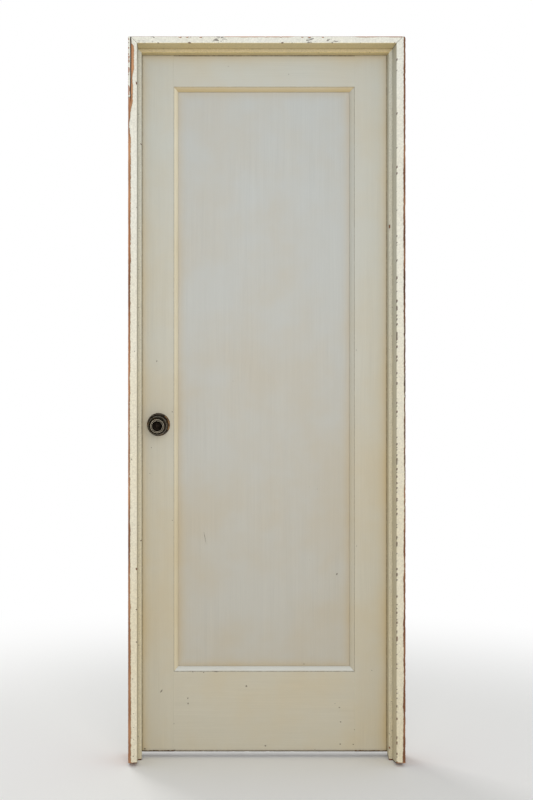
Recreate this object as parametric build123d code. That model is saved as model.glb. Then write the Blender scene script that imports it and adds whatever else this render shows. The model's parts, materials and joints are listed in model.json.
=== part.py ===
from build123d import *
import os
from math import atan2, cos, degrees, hypot, radians, sin

os.makedirs("parts", exist_ok=True)

# An old single-panel interior door, closed in its own jamb frame. Millimetres, +Z up.
# X runs from the knob side to the hinge side. Y runs from the side with the stops to the side
# that the door opens to. The origin is under the middle of everything, on the floor.

# Door leaf
door_width = 711.0
door_height = 1981.0
door_thickness = 35.0
stile_width = 112.0
top_rail_height = 109.5
bottom_rail_height = 239.5
edge_bevel = 1.8            # the lock edge leans back by this, so that it clears the jamb
arris_radius = 1.0          # softened corners of the door leaf

# Moulding round the panel, the panel and its groove
moulding_width = 13.0
moulding_step = 1.4         # square step down from the face
moulding_lip = 2.2          # square step down to the panel
moulding_bulge = 1.1        # how far the slope between the two steps swells
panel_thickness = 8.0
groove_depth = 11.0
groove_clearance = 0.1      # on each face of the panel
panel_float = 1.5           # room for the panel to swell, at each edge

# Mortise and tenon joints
tenon_thickness = 11.0
tenon_length = 64.0
tenon_clearance = 0.1
tenon_edge = 2.0            # from the moulding's line to the first tenon
tenon_shoulder = 28.0       # wood left between a tenon and the rail's outer edge
tenon_gap = 40.0            # between the two tenons of the bottom rail
mortise_room = 2.0          # glue room at the tenon's end

# Gaps round the door
strike_gap = 2.0
hinge_gap = 3.6
head_gap = 3.0
floor_gap = 15.0

# Jamb frame and stops
jamb_depth = 130.0
jamb_thickness = 25.0
head_thickness = 19.0
jamb_round = 1.6            # worn corners of the jambs
stop_width = 33.0
stop_thickness = 11.0
stop_round = 3.0            # rounded corner towards the viewer
stop_clearance = 0.6        # between the stops and the closed door
jamb_foot_rise = 10.0       # the side jambs' feet are cut away to this height at the front
stop_foot_rise = 12.0       # the side stops' feet are cut away to this height at the door

# Butt hinges
hinge_height = 89.0
hinge_leaf_thickness = 2.3
hinge_leaf_reach = 31.0     # how far the leaf lies in from the door's face
hinge_corner_radius = 1.5
knuckle_radius = 6.0
knuckle_offset = 6.6        # from the door's face to the pin's centre
knuckle_count = 5
knuckle_play = 0.35         # between two knuckles, end to end
pin_radius = 3.0
pin_play = 0.06             # radial, pin in knuckle
pin_ball_radius = 4.6
pin_collar_radius = 4.8     # under the ball
pin_collar_thickness = 1.4
pin_ball_sink = 0.7         # how deep the ball is sunk in its collar
plug_length = 8.5           # of the lower ball's plug in the lowest knuckle
plug_gap = 1.5              # between the plug and the pin's end
top_hinge_drop = 178.0      # from the door's top to the top hinge
bottom_hinge_rise = 254.0   # from the door's bottom to the bottom hinge

# Wood screws, two sizes, countersunk at 45 degrees
hinge_screw_head_radius = 4.4
hinge_screw_radius = 2.1
hinge_screw_length = 22.0
small_screw_head_radius = 3.6
small_screw_radius = 1.7
small_screw_length = 18.0
screw_fit = 0.12            # radial room round a screw or nail
hinge_screw_margin = 15.0   # from the leaf's end to its outer screws
hinge_screw_backset = 17.0  # from the door's face to the middle screw
hinge_screw_stagger = 7.0   # the outer screws lie this much further in

# Nails
corner_nail_radius = 1.5
corner_nail_head_radius = 3.4
corner_nail_head_thickness = 1.2
corner_nail_length = 64.0
corner_nail_inset = 24.0    # from the jamb's edges to the outer nails
corner_nail_count = 2
stop_nail_radius = 1.1
stop_nail_length = 25.0
stop_nail_set = 1.5         # how deep the nails are sunk under the stop's face
stop_nail_margin = 90.0
side_stop_nail_count = 5
head_stop_nail_count = 3

# Tubular latch
knob_height = 927.0         # above the door's bottom
backset = 56.0
cross_bore_radius = 27.0
edge_bore_radius = 12.7
plate_height = 57.0
plate_width = 25.4
plate_thickness = 2.4
plate_corner_radius = 3.0
plate_screw_spacing = 41.0
case_radius = 12.0
case_wall = 1.1
case_tail = 13.0            # how far the case runs past the spindle
bolt_height = 17.0
bolt_thickness = 11.0
bolt_throw = 9.5
bolt_clearance = 0.5
bolt_bevel_length = 9.4     # how far the bevel runs back from the tip
bolt_nose = 2.0             # flat end left beside the bevel
bolt_head_length = 22.0
bolt_rod_radius = 2.2
guide_thickness = 2.0       # the wall in the case that the bolt's rod slides in
guide_gap = 1.3             # from that wall to the tail at rest
tail_thickness = 2.4
tail_prong = 2.0
hub_radius = 7.0
hub_play = 0.35
hub_turn = 70.0             # degrees, the knobs' whole turn
lobe_width = 3.0
lobe_play = 0.3

# Strike plate
strike_height = 57.0
strike_width = 28.0
strike_thickness = 1.8
strike_hole_room = 2.2      # round the bolt
lip_radius = 6.0            # the lip curls away from the door in an arc
lip_angle = 50.0
lip_start = 2.6             # from the arc's start to the jamb's rear face
lip_root = 4.0              # flat of the lip before the arc
lip_clearance = 0.4         # between the lip's tip and the jamb's rear face
strike_pocket_depth = 17.0

# Knob set
rose_radius = 32.6
rose_depth = 9.0
rose_wall = 1.8
rose_edge = 1.2             # square edge at the rim, and the bevels of the steps
rose_bead_width = 5.5       # the low bead round the rim
rose_bead_height = 2.6
rose_step_height = 4.8      # where the slope to the neck starts
rose_collar_width = 2.6     # flat ring round the neck
rose_slope_end = 5.0        # from the neck's bore to the end of the slope
rose_bore_play = 0.4
rose_post_radius = 4.0
rose_post_offset = 19.0     # from the spindle to each through bolt
rose_bolt_radius = 2.0
rose_bolt_head_radius = 4.0
rose_bolt_head_height = 2.4
rose_post_reach = 15.0      # how far the front rose's posts reach into the door
rose_seat = 6.4             # the bolt heads' seat, above the door's face
rose_seat_thickness = 2.8
rose_seat_rim = 1.0         # metal left round a bolt's head
rose_head_play = 0.4
rose_bolt_grip = 12.0       # length of a bolt's end inside its post
neck_radius = 12.0
neck_length = 18.0
knob_root = 2.0             # from the door's face to the neck's end
knob_radius = 26.5
knob_projection = 66.0      # from the door's face to the knob's front
knob_flare = 2.6            # how far the back of the knob swells in the middle of its curve
knob_back_inset = 6.0       # the knob's back meets its round side here, in from its radius
knob_back_rise = 12.5       # above the neck
knob_back_swell = 1.5       # of the round side behind the widest place
knob_side_depth = 22.0      # the widest place, back from the knob's front
knob_front_swell = 1.3      # of the round side in front of it
knob_front_inset = 5.2      # the round side ends here, at the outer ring
knob_front_depth = 5.5
outer_ring_radius = 20.0
outer_ring_drop = 2.2       # the outer ring's crest, back from the knob's front
inner_ring_radius = 14.9
ring_width = 2.8
ring_crest = 1.2
ring_depth = 4.8            # bottom of the groove between the rings
dish_radius = 13.1          # the sunk middle
dish_depth = 4.2
button_radius = 4.4
button_depth = 2.8
spindle_size = 7.9
spindle_play = 0.06
spindle_end = 12.0          # from the spindle's end to the knob's front
set_screw_radius = 2.0
set_screw_drop = 4.0        # from the neck's upper end to the screw
set_screw_sink = 0.6        # its end lies this deep in the neck

# Places that follow from the sizes
front_plane = -(jamb_depth + knob_projection) / 2
rear_plane = front_plane + jamb_depth
door_rear = rear_plane
door_front = door_rear - door_thickness
door_middle = (door_front + door_rear) / 2
stop_rear = door_front - stop_clearance
stop_front = stop_rear - stop_width

clear_width = door_width + strike_gap + hinge_gap
strike_face = -clear_width / 2
hinge_face = clear_width / 2
door_left = strike_face + strike_gap
door_right = hinge_face - hinge_gap

door_bottom = floor_gap
door_top = door_bottom + door_height
head_underside = door_top + head_gap
frame_top = head_underside + head_thickness

# The flat of each stile and rail ends on these lines, where the moulding starts
line_left = door_left + stile_width - moulding_width
line_right = door_right - stile_width + moulding_width
line_low = door_bottom + bottom_rail_height - moulding_width
line_high = door_top - top_rail_height + moulding_width

knob_z = door_bottom + knob_height
knob_x = door_left + backset

pin_x = hinge_face - hinge_gap / 2
pin_y = rear_plane + knuckle_offset
hinge_bottoms = {
    "bottom": door_bottom + bottom_hinge_rise,
    "middle": door_bottom + (bottom_hinge_rise + door_height - top_hinge_drop - hinge_height) / 2,
    "top": door_top - top_hinge_drop - hinge_height,
}

past = 1.0                  # how far a cutting shape runs past the face that it cuts


def save(shape, name):
    export_step(shape, f"parts/{name}.step")


def block(x0, x1, y0, y1, z0, z1):
    """A box from its six sides."""
    return Pos((x0 + x1) / 2, (y0 + y1) / 2, (z0 + z1) / 2) * Box(x1 - x0, y1 - y0, z1 - z0)


def prism_z(outline, z0, z1):
    """A closed outline in X and Y, drawn up from z0 to z1."""
    return Pos(0, 0, z0) * extrude(outline, z1 - z0)


def prism_x(outline, x0, x1):
    """An outline in Y and Z, drawn along X from x0 to x1."""
    return Pos(x0, 0, 0) * extrude(Plane.YZ * outline, x1 - x0)


def prism_y(outline, y0, y1):
    """An outline in X and Z, drawn along Y from y0 to y1."""
    return Pos(0, y1, 0) * extrude(Plane.XZ * outline, y1 - y0)


def polygon(*points):
    return make_face(Polyline(*points, close=True))


def rod_x(x0, x1, y, z, radius):
    return Pos((x0 + x1) / 2, y, z) * Rot(0, 90, 0) * Cylinder(radius, x1 - x0)


def rod_y(y0, y1, x, z, radius):
    return Pos(x, (y0 + y1) / 2, z) * Rot(90, 0, 0) * Cylinder(radius, y1 - y0)


def turned(points):
    """A closed outline of (radius, height) points, turned about Z."""
    return revolve(make_face(Plane.XZ * Polyline(*points, close=True)), Axis.Z)


def spread(first, last, count):
    """Evenly spaced places from first to last."""
    return [first + (last - first) * i / (count - 1) for i in range(count)]


# Side and head jambs


def jamb_section(width, depth):
    """A board's section from its inner front corner, rounded at all but the outer rear corner."""
    board = Pos(width / 2, depth / 2) * Rectangle(width, depth)
    worn = board.vertices().filter_by(lambda v: v.X < width / 2 or v.Y < depth / 2)
    return fillet(worn, jamb_round)


def mitre_cut(face_x, outwards):
    """What the head's mitre takes off a side jamb; outwards is -1 or 1."""
    corner_x = face_x + outwards * head_thickness
    inner_x = face_x - outwards * past
    outline = polygon(
        (face_x, head_underside),
        (corner_x, frame_top),
        (corner_x + outwards * past, frame_top + past),
        (inner_x, frame_top + past),
        (inner_x, head_underside - past),
    )
    return prism_y(outline, front_plane - past, rear_plane + past)


def slanted_foot(y0, z0, y1, z1):
    """What is cut off below a slanted line from (y0, z0) to (y1, z1), across the whole frame."""
    floor = -past
    outline = polygon((y0, floor), (y0, z0), (y1, z1), (y1, floor))
    reach = clear_width / 2 + jamb_thickness + past
    return prism_x(outline, -reach, reach)


def side_jamb(face_x, outwards):
    section = jamb_section(jamb_thickness, jamb_depth)
    if outwards < 0:
        section = mirror(section, Plane.YZ)
    board = Pos(face_x, front_plane, 0) * prism_z(section, 0, frame_top)
    slope = jamb_foot_rise / (stop_front - front_plane)
    board -= slanted_foot(front_plane - past, jamb_foot_rise + slope * past, stop_front, 0)
    return board - mitre_cut(face_x, outwards)


def head_jamb():
    section = Rot(0, 0, 90) * jamb_section(head_thickness, jamb_depth)
    section = mirror(section, Plane.YZ)
    reach = clear_width / 2 + head_thickness + past
    board = Pos(0, front_plane, head_underside) * prism_x(section, -reach, reach)
    for face_x, outwards in ((strike_face, -1), (hinge_face, 1)):
        outline = polygon(
            (face_x, head_underside),
            (face_x - outwards * past, head_underside - past),
            (face_x + outwards * (head_thickness + 3 * past), head_underside - past),
            (face_x + outwards * (head_thickness + 3 * past), frame_top + past),
            (face_x + outwards * (head_thickness + past), frame_top + past),
        )
        board -= prism_y(outline, front_plane - past, rear_plane + past)
    return board


# Stops


def stop_section():
    """X is the thickness, away from the jamb; Y is the width, from the stop's front."""
    strip = Pos(stop_thickness / 2, stop_width / 2) * Rectangle(stop_thickness, stop_width)
    nose = strip.vertices().sort_by(Axis.Y)[:2].sort_by(Axis.X)[-1]
    return fillet(nose, stop_round)


def side_stop(face_x, inwards):
    section = stop_section()
    if inwards < 0:
        section = mirror(section, Plane.YZ)
    strip = Pos(face_x, stop_front, 0) * prism_z(section, 0, head_underside)
    tip_x = face_x + inwards * stop_thickness
    outline = polygon(
        (face_x, head_underside),
        (face_x - inwards * past, head_underside + past),
        (tip_x + inwards * past, head_underside + past),
        (tip_x + inwards * past, head_underside - stop_thickness - past),
    )
    strip -= prism_y(outline, stop_front - past, stop_rear + past)
    slope = stop_foot_rise / stop_width
    return strip - slanted_foot(stop_front, 0, stop_rear + past, stop_foot_rise + slope * past)


def head_stop():
    section = Rot(0, 0, -90) * stop_section()
    strip = Pos(0, stop_front, head_underside) * prism_x(section, strike_face, hinge_face)
    for face_x, inwards in ((strike_face, 1), (hinge_face, -1)):
        tip_x = face_x + inwards * stop_thickness
        outline = polygon(
            (face_x, head_underside),
            (tip_x + inwards * past, head_underside - stop_thickness - past),
            (face_x - inwards * past, head_underside - stop_thickness - past),
            (face_x - inwards * past, head_underside + past),
        )
        strip -= prism_y(outline, stop_front - past, stop_rear + past)
    return strip


# Screws and nails, modelled pointing down from a head whose top is at the origin


def wood_screw(head_radius, shank_radius, length, room=0.0, above=0.0):
    """A countersunk screw, or with some room the hole that it sits in, which opens above the face."""
    cone = head_radius - shank_radius
    shank = shank_radius + room
    return turned([
        (0, above), (head_radius + room + above, above), (shank, -cone),
        (shank, -length - room), (0, -length - room),
    ])


def hinge_screw(**room):
    return wood_screw(hinge_screw_head_radius, hinge_screw_radius, hinge_screw_length, **room)


def small_screw(**room):
    return wood_screw(small_screw_head_radius, small_screw_radius, small_screw_length, **room)


hole_room = {"room": screw_fit, "above": past}


def along_x(shape, x, y, z, direction):
    """Turns a shape that points down so that it points along +X (1) or -X (-1)."""
    return Pos(x, y, z) * Rot(0, -90 * direction, 0) * shape


# Hinges


def hinge_screw_places(bottom):
    """Y and Z of one leaf's three screws."""
    middle_y = rear_plane - hinge_screw_backset
    zs = spread(bottom + hinge_screw_margin, bottom + hinge_height - hinge_screw_margin, 3)
    return [
        (middle_y - hinge_screw_stagger / 2, zs[0]),
        (middle_y + hinge_screw_stagger / 2, zs[1]),
        (middle_y - hinge_screw_stagger / 2, zs[2]),
    ]


def leaf_pocket(face_x, outwards, bottom):
    """The shallow mortise that a hinge leaf lies in; outwards points into the wood."""
    deep_x = face_x + outwards * hinge_leaf_thickness
    near_x = face_x - outwards * past
    x0, x1 = sorted((deep_x, near_x))
    y0 = rear_plane - hinge_leaf_reach
    pocket = block(x0, x1, y0, rear_plane + past, bottom, bottom + hinge_height)
    corners = pocket.edges().filter_by(Axis.X).group_by(Axis.Y)[0]
    return fillet(corners, hinge_corner_radius)


def knuckles(bottom, first):
    """Every second knuckle from the one counted first, as (z0, z1)."""
    step = hinge_height / knuckle_count
    return [
        (bottom + i * step + knuckle_play / 2, bottom + (i + 1) * step - knuckle_play / 2)
        for i in range(first, knuckle_count, 2)
    ]


def hinge_leaf(face_x, outwards, bottom, first_knuckle):
    """A leaf with its knuckles; its back lies against the wood, outwards of its face."""
    x0, x1 = sorted((face_x, face_x + outwards * hinge_leaf_thickness))
    leaf = block(x0, x1, rear_plane - hinge_leaf_reach, pin_y, bottom, bottom + hinge_height)
    corners = leaf.edges().filter_by(Axis.X).group_by(Axis.Y)[0]
    leaf = fillet(corners, hinge_corner_radius)
    other = knuckles(bottom, 1 - first_knuckle)
    own = knuckles(bottom, first_knuckle)
    for z0, z1 in other:
        z0 = max(z0 - knuckle_play, bottom - past)
        room = Cylinder(knuckle_radius + 2 * knuckle_play, z1 + knuckle_play - z0)
        leaf -= Pos(pin_x, pin_y, (z0 + z1 + knuckle_play) / 2) * room
        leaf -= block(pin_x - 2 * knuckle_radius, pin_x + 2 * knuckle_radius,
                      pin_y, pin_y + knuckle_radius, z0, z1 + knuckle_play)
    for z0, z1 in own:
        leaf += Pos(pin_x, pin_y, (z0 + z1) / 2) * Cylinder(knuckle_radius, z1 - z0)
    leaf -= Pos(pin_x, pin_y, bottom + hinge_height / 2) * Cylinder(pin_radius + pin_play, 2 * hinge_height)
    for y, z in hinge_screw_places(bottom):
        leaf -= along_x(hinge_screw(**hole_room), face_x, y, z, outwards)
    return leaf


def pin_with_ball(end, face, upwards):
    """A pin from its plain end to a collar that lies on a knuckle's face, with a ball on the collar."""
    outer = face + upwards * pin_collar_thickness
    middle = outer + upwards * (pin_ball_radius - pin_ball_sink)
    shank = Cylinder(pin_radius, abs(outer - end))
    collar = Cylinder(pin_collar_radius, pin_collar_thickness)
    pin = Pos(0, 0, (end + outer) / 2) * shank + Pos(0, 0, (face + outer) / 2) * collar
    return Pos(pin_x, pin_y, 0) * (pin + Pos(0, 0, middle) * Sphere(pin_ball_radius))


def hinge_pin(bottom):
    """It stops short of the lowest knuckle's plug."""
    return pin_with_ball(bottom + plug_length + plug_gap, bottom + hinge_height, 1)


def hinge_tip(bottom):
    """The ball plug pressed into the lowest knuckle."""
    return pin_with_ball(bottom + plug_length, bottom, -1)


def leaf_screws(face_x, outwards):
    """The three screws of every hinge leaf on one face."""
    screws = []
    for bottom in hinge_bottoms.values():
        for y, z in hinge_screw_places(bottom):
            screws.append(along_x(hinge_screw(), face_x, y, z, outwards))
    return screws


def cut_leaf_screws(wood, face_x, outwards):
    for bottom in hinge_bottoms.values():
        for y, z in hinge_screw_places(bottom):
            wood -= along_x(hinge_screw(**hole_room), face_x, y, z, outwards)
    return wood


# Nails in the frame


def corner_nail(room=0.0):
    """A flat-headed nail, or with some room the hole that it is driven into."""
    radius = corner_nail_radius + room
    head = corner_nail_head_radius + room
    return turned([
        (0, 0), (head, 0), (head, -corner_nail_head_thickness - room),
        (radius, -corner_nail_head_thickness - room), (radius, -corner_nail_length - room),
        (0, -corner_nail_length - room),
    ])


def corner_nails(outwards, room=0.0):
    x = outwards * (clear_width / 2 + jamb_thickness)
    z = head_underside + head_thickness / 2
    ys = spread(front_plane + corner_nail_inset, rear_plane - corner_nail_inset, corner_nail_count)
    return [along_x(corner_nail(room), x, y, z, -outwards) for y in ys]


def stop_nail(room=0.0):
    """A headless finish nail, set below the face and filled over."""
    length = stop_nail_length - stop_nail_set + 2 * room
    return Pos(0, 0, -(stop_nail_length + stop_nail_set) / 2) * Cylinder(stop_nail_radius + room, length)


def side_stop_nails(face_x, inwards, room=0.0):
    tip_x = face_x + inwards * stop_thickness
    y = (stop_front + stop_rear) / 2
    zs = spread(stop_nail_margin, head_underside - stop_nail_margin, side_stop_nail_count)
    return [along_x(stop_nail(room), tip_x, y, z, -inwards) for z in zs]


def head_stop_nails(room=0.0):
    y = (stop_front + stop_rear) / 2
    z = head_underside - stop_thickness
    xs = spread(strike_face + stop_nail_margin, hinge_face - stop_nail_margin, head_stop_nail_count)
    return [Pos(x, y, z) * Rot(180, 0, 0) * stop_nail(room) for x in xs]


# Strike plate


def plate_outline(width, height):
    return RectangleRounded(width, height, plate_corner_radius)


def on_edge(outline, x0, x1, y, z):
    """An outline whose X is the door's thickness and Y its height, drawn along X from x0 to x1."""
    return Pos(0, y, z) * prism_x(outline, x0, x1)


def strike_screw_places():
    return [(door_middle, knob_z - plate_screw_spacing / 2), (door_middle, knob_z + plate_screw_spacing / 2)]


def strike_body(thickness):
    """The plate's flat, flush in the jamb, from its inner edge to the jamb's rear corner."""
    outline = plate_outline(strike_width, strike_height)
    y = door_middle + (strike_width - plate_width) / 2
    return on_edge(outline, strike_face - thickness, strike_face, y, knob_z)


def strike_hole(x0, x1):
    width = bolt_thickness + 2 * strike_hole_room
    height = bolt_height + 2 * strike_hole_room
    return block(x0, x1, door_middle - width / 2, door_middle + width / 2,
                 knob_z - height / 2, knob_z + height / 2)


def lip_point(depth, angle):
    """A place on the lip's curl, at a depth under its face and an angle along it."""
    radius = lip_radius - depth
    turn = radians(angle)
    return (strike_face - lip_radius + radius * cos(turn), rear_plane - lip_start + radius * sin(turn))


def lip_prism(outline):
    half = bolt_height / 2 + 2 * strike_hole_room
    return prism_z(outline, knob_z - half, knob_z + half)


def strike_lip():
    """The tongue that leads the bolt in: flat, then curled round the jamb's rear corner."""
    root_y = rear_plane - lip_start - lip_root
    back = strike_face - strike_thickness
    outline = Curve() + [
        Line((strike_face, root_y), lip_point(0, 0)),
        ThreePointArc(lip_point(0, 0), lip_point(0, lip_angle / 2), lip_point(0, lip_angle)),
        Line(lip_point(0, lip_angle), lip_point(strike_thickness, lip_angle)),
        ThreePointArc(lip_point(strike_thickness, lip_angle), lip_point(strike_thickness, lip_angle / 2),
                      lip_point(strike_thickness, 0)),
        Polyline(lip_point(strike_thickness, 0), (back, root_y), (strike_face, root_y)),
    ]
    return lip_prism(make_face(outline))


def strike_plate():
    plate = strike_body(strike_thickness) + strike_lip()
    plate -= strike_hole(strike_face - 2 * strike_thickness, strike_face + past)
    for y, z in strike_screw_places():
        plate -= along_x(small_screw(**hole_room), strike_face, y, z, -1)
    return plate


def strike_screws():
    return [along_x(small_screw(), strike_face, y, z, -1) for y, z in strike_screw_places()]


def cut_strike(jamb):
    """The strike's mortise, the lip's relief at the rear corner and the latch pocket."""
    outline = plate_outline(strike_width, strike_height)
    y = door_middle + (strike_width - plate_width) / 2
    jamb -= on_edge(outline, strike_face - strike_thickness, strike_face + past, y, knob_z)
    foot = lip_point(strike_thickness, 0)
    rim_x = lip_point(strike_thickness, lip_angle)[0] - lip_clearance
    jamb -= lip_prism(polygon(
        (foot[0], foot[1] - lip_root),
        (strike_face + past, foot[1] - lip_root),
        (strike_face + past, rear_plane + past),
        (rim_x, rear_plane + past),
        (rim_x, rear_plane),
        foot,
    ))
    jamb -= strike_hole(strike_face - strike_pocket_depth, strike_face + past)
    for y, z in strike_screw_places():
        jamb -= along_x(small_screw(**hole_room), strike_face, y, z, -1)
    return jamb


# Door leaf


def half_section(width, outer_lean, middle_lean):
    """One face's half of a rail or stile: flat from -width to 0, then the moulding and the groove."""
    half = door_thickness / 2
    groove_half = panel_thickness / 2 + groove_clearance
    start = (0, half - moulding_step)
    end = (moulding_width, groove_half + moulding_lip)
    swell = ((start[0] + end[0]) / 2 + moulding_bulge / 2, (start[1] + end[1]) / 2 + moulding_bulge)
    slope = ThreePointArc(start, swell, end)
    rest = Polyline(
        end,
        (moulding_width, groove_half),
        (moulding_width - groove_depth, groove_half),
        (moulding_width - groove_depth, 0),
        (-width + middle_lean, 0),
        (-width + outer_lean, half),
        (0, half),
        start,
    )
    return make_face(Curve() + [slope, rest])


def moulded_section(width, lean=0.0):
    """A whole section; the face towards the stops may be narrower by the lean."""
    rear = half_section(width, 0.0, lean / 2)
    return rear + mirror(half_section(width, lean, lean / 2), Plane.XZ)


def soften(section, width):
    """Rounds the two outer corners of a moulded section."""
    corners = section.vertices().filter_by(lambda v: v.X < -width / 2 and abs(v.Y) > door_thickness / 4)
    return fillet(corners, arris_radius)


def stile(edge_x, inwards, lean):
    """A full-height stile whose moulding ends in mitres at the two rails."""
    flat = stile_width - moulding_width
    section = soften(moulded_section(flat, lean), flat)
    if inwards < 0:
        section = mirror(section, Plane.YZ)
    board = Pos(edge_x, door_middle, 0) * prism_z(section, door_bottom, door_top)
    reach = moulding_width + past
    far_x = edge_x + inwards * reach
    for line_z, upwards, end_z in ((line_high, 1, door_top + past), (line_low, -1, door_bottom - past)):
        outline = polygon(
            (edge_x, line_z),
            (far_x, line_z - upwards * reach),
            (far_x, end_z),
            (edge_x, end_z),
        )
        board -= prism_y(outline, door_front - past, door_rear + past)
    return board


def rail(line_z, upwards, flat):
    """A rail between the shoulders, its moulding mitred at both ends; upwards is -1 at the foot."""
    section = Rot(0, 0, -90 * upwards) * soften(moulded_section(flat), flat)
    board = Pos(0, door_middle, line_z) * prism_x(section, line_left, line_right)
    for edge_x, inwards in ((line_left, 1), (line_right, -1)):
        reach = moulding_width + past
        outline = polygon(
            (edge_x, line_z),
            (edge_x + inwards * reach, line_z - upwards * reach),
            (edge_x - inwards * past, line_z - upwards * reach),
            (edge_x - inwards * past, line_z),
        )
        board -= prism_y(outline, door_front - past, door_rear + past)
    return board


def tenon_spans(line_z, upwards, flat):
    """The heights of a rail's tenons: one on the top rail, two on the deep bottom rail."""
    near = line_z + upwards * tenon_edge
    far = line_z + upwards * (flat - tenon_shoulder)
    low, high = sorted((near, far))
    if upwards > 0:
        return [(low, high)]
    middle = (low + high) / 2
    return [(low, middle - tenon_gap / 2), (middle + tenon_gap / 2, high)]


def tenon(edge_x, outwards, span, room=0.0, end_room=0.0):
    """One tenon, or with some room the mortise that takes it."""
    root = edge_x - outwards * (past if room == 0 else 0)
    x0, x1 = sorted((root, edge_x + outwards * (tenon_length + end_room)))
    half = tenon_thickness / 2 + room
    return block(x0, x1, door_middle - half, door_middle + half, span[0] - room, span[1] + room)


rail_kinds = (
    (line_high, 1, top_rail_height - moulding_width),
    (line_low, -1, bottom_rail_height - moulding_width),
)


def tenoned_rail(line_z, upwards, flat):
    board = rail(line_z, upwards, flat)
    for span in tenon_spans(line_z, upwards, flat):
        board += tenon(line_left, -1, span)
        board += tenon(line_right, 1, span)
    return board


def cut_mortises(board, edge_x, outwards):
    for kind in rail_kinds:
        for span in tenon_spans(*kind):
            board -= tenon(edge_x, outwards, span, tenon_clearance, mortise_room)
    return board


def door_panel():
    reach = groove_depth - panel_float - moulding_width
    half = panel_thickness / 2
    return block(line_left - reach, line_right + reach, door_middle - half, door_middle + half,
                 line_low - reach, line_high + reach)


# Latch in the lock edge


lean = degrees(atan2(edge_bevel, door_thickness))
edge_place = Pos(door_left + edge_bevel / 2, door_middle, knob_z) * Rot(0, 0, lean)
case_start = door_left + edge_bevel / 2
bolt_tip = case_start - bolt_throw
bolt_back = bolt_tip + bolt_head_length
tail_start = knob_x - hub_radius - lobe_play - bolt_throw - tail_thickness
guide_end = tail_start - guide_gap
lobe_reach = bolt_throw / 2 / sin(radians(hub_turn / 2))
prong_low = hub_radius + lobe_play
prong_high = lobe_reach + lobe_width / 2


def face_plate(thickness, grow=0.0):
    outline = RectangleRounded(plate_width, plate_height, plate_corner_radius)
    return edge_place * prism_x(outline, -grow, thickness)


def plate_screw_heights():
    return [-plate_screw_spacing / 2, plate_screw_spacing / 2]


def latch_screws():
    return [edge_place * along_x(small_screw(), 0, 0, z, 1) for z in plate_screw_heights()]


def cut_latch_screws(shape):
    for z in plate_screw_heights():
        shape -= edge_place * along_x(small_screw(**hole_room), 0, 0, z, 1)
    return shape


def latch_faceplate():
    half_y = bolt_thickness / 2 + bolt_clearance
    half_z = bolt_height / 2 + bolt_clearance
    plate = face_plate(plate_thickness)
    plate -= block(bolt_tip, bolt_back, door_middle - half_y, door_middle + half_y,
                   knob_z - half_z, knob_z + half_z)
    return cut_latch_screws(plate)


def latch_case():
    end = knob_x + case_tail
    inner = case_radius - case_wall
    case = rod_x(case_start, end, door_middle, knob_z, case_radius)
    bore = rod_x(case_start - past, end - case_wall, door_middle, knob_z, inner)
    guide = rod_x(guide_end - guide_thickness, guide_end, door_middle, knob_z, inner)
    guide -= rod_x(guide_end - 2 * guide_thickness, guide_end + past, door_middle, knob_z,
                   bolt_rod_radius + bolt_clearance)
    case = case - bore + guide
    case -= rod_y(door_front, door_rear, knob_x, knob_z, hub_radius + hub_play)
    return case - face_plate(plate_thickness, 2 * plate_thickness)


def latch_bolt():
    """Bevelled on the side that meets the strike as the door closes."""
    y0, y1 = door_middle - bolt_thickness / 2, door_middle + bolt_thickness / 2
    outline = polygon(
        (bolt_back, y0),
        (bolt_tip + bolt_bevel_length, y0),
        (bolt_tip, y1 - bolt_nose),
        (bolt_tip, y1),
        (bolt_back, y1),
    )
    bolt = prism_z(outline, knob_z - bolt_height / 2, knob_z + bolt_height / 2)
    bolt += rod_x(bolt_back - past, tail_start + past, door_middle, knob_z, bolt_rod_radius)
    fork_half = lobe_width / 2 + lobe_play + tail_prong
    hook_x = knob_x - bolt_throw / 2 + lobe_width / 2 + lobe_play
    hook_end = hook_x + tail_thickness
    bolt += block(tail_start, tail_start + tail_thickness, door_middle - fork_half, door_middle + fork_half,
                  knob_z - bolt_rod_radius, knob_z + prong_high)
    bolt += block(tail_start, hook_end, door_middle - fork_half, door_middle + fork_half,
                  knob_z + prong_low, knob_z + prong_high)
    slot_half = fork_half - tail_prong
    bolt -= block(tail_start + tail_thickness, hook_x, door_middle - slot_half, door_middle + slot_half,
                  knob_z + prong_low - past, knob_z + prong_high + past)
    return bolt


def latch_hub():
    """The hub with the lobe that pulls the bolt's tail back as the knobs turn."""
    half = case_radius - case_wall / 2
    hub = rod_y(door_middle - half, door_middle + half, knob_x, knob_z, hub_radius)
    angle = radians(hub_turn / 2)
    tip_x = knob_x - lobe_reach * sin(angle)
    tip_z = knob_z + lobe_reach * cos(angle)
    half_lobe = lobe_width / 2
    arm = Pos(knob_x, 0, knob_z) * Rot(0, -hub_turn / 2, 0) * block(
        -half_lobe, half_lobe, door_middle - half_lobe, door_middle + half_lobe, 0, lobe_reach)
    hub += arm + rod_y(door_middle - half_lobe, door_middle + half_lobe, tip_x, tip_z, half_lobe)
    size = spindle_size + 2 * spindle_play
    return hub - Pos(knob_x, door_middle, knob_z) * Box(size, 4 * case_radius, size)


def drill_lock_stile(board):
    board -= rod_y(door_front - past, door_rear + past, knob_x, knob_z, cross_bore_radius)
    board -= rod_x(door_left - past, knob_x, door_middle, knob_z, edge_bore_radius)
    board -= face_plate(plate_thickness, 2 * plate_thickness)
    return cut_latch_screws(board)


# Knob set, modelled on Z from the door's face


def on_front(shape):
    return Pos(knob_x, door_front, knob_z) * Rot(90, 0, 0) * shape


def on_back(shape):
    return Pos(knob_x, door_rear, knob_z) * Rot(-90, 0, 0) * shape


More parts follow.
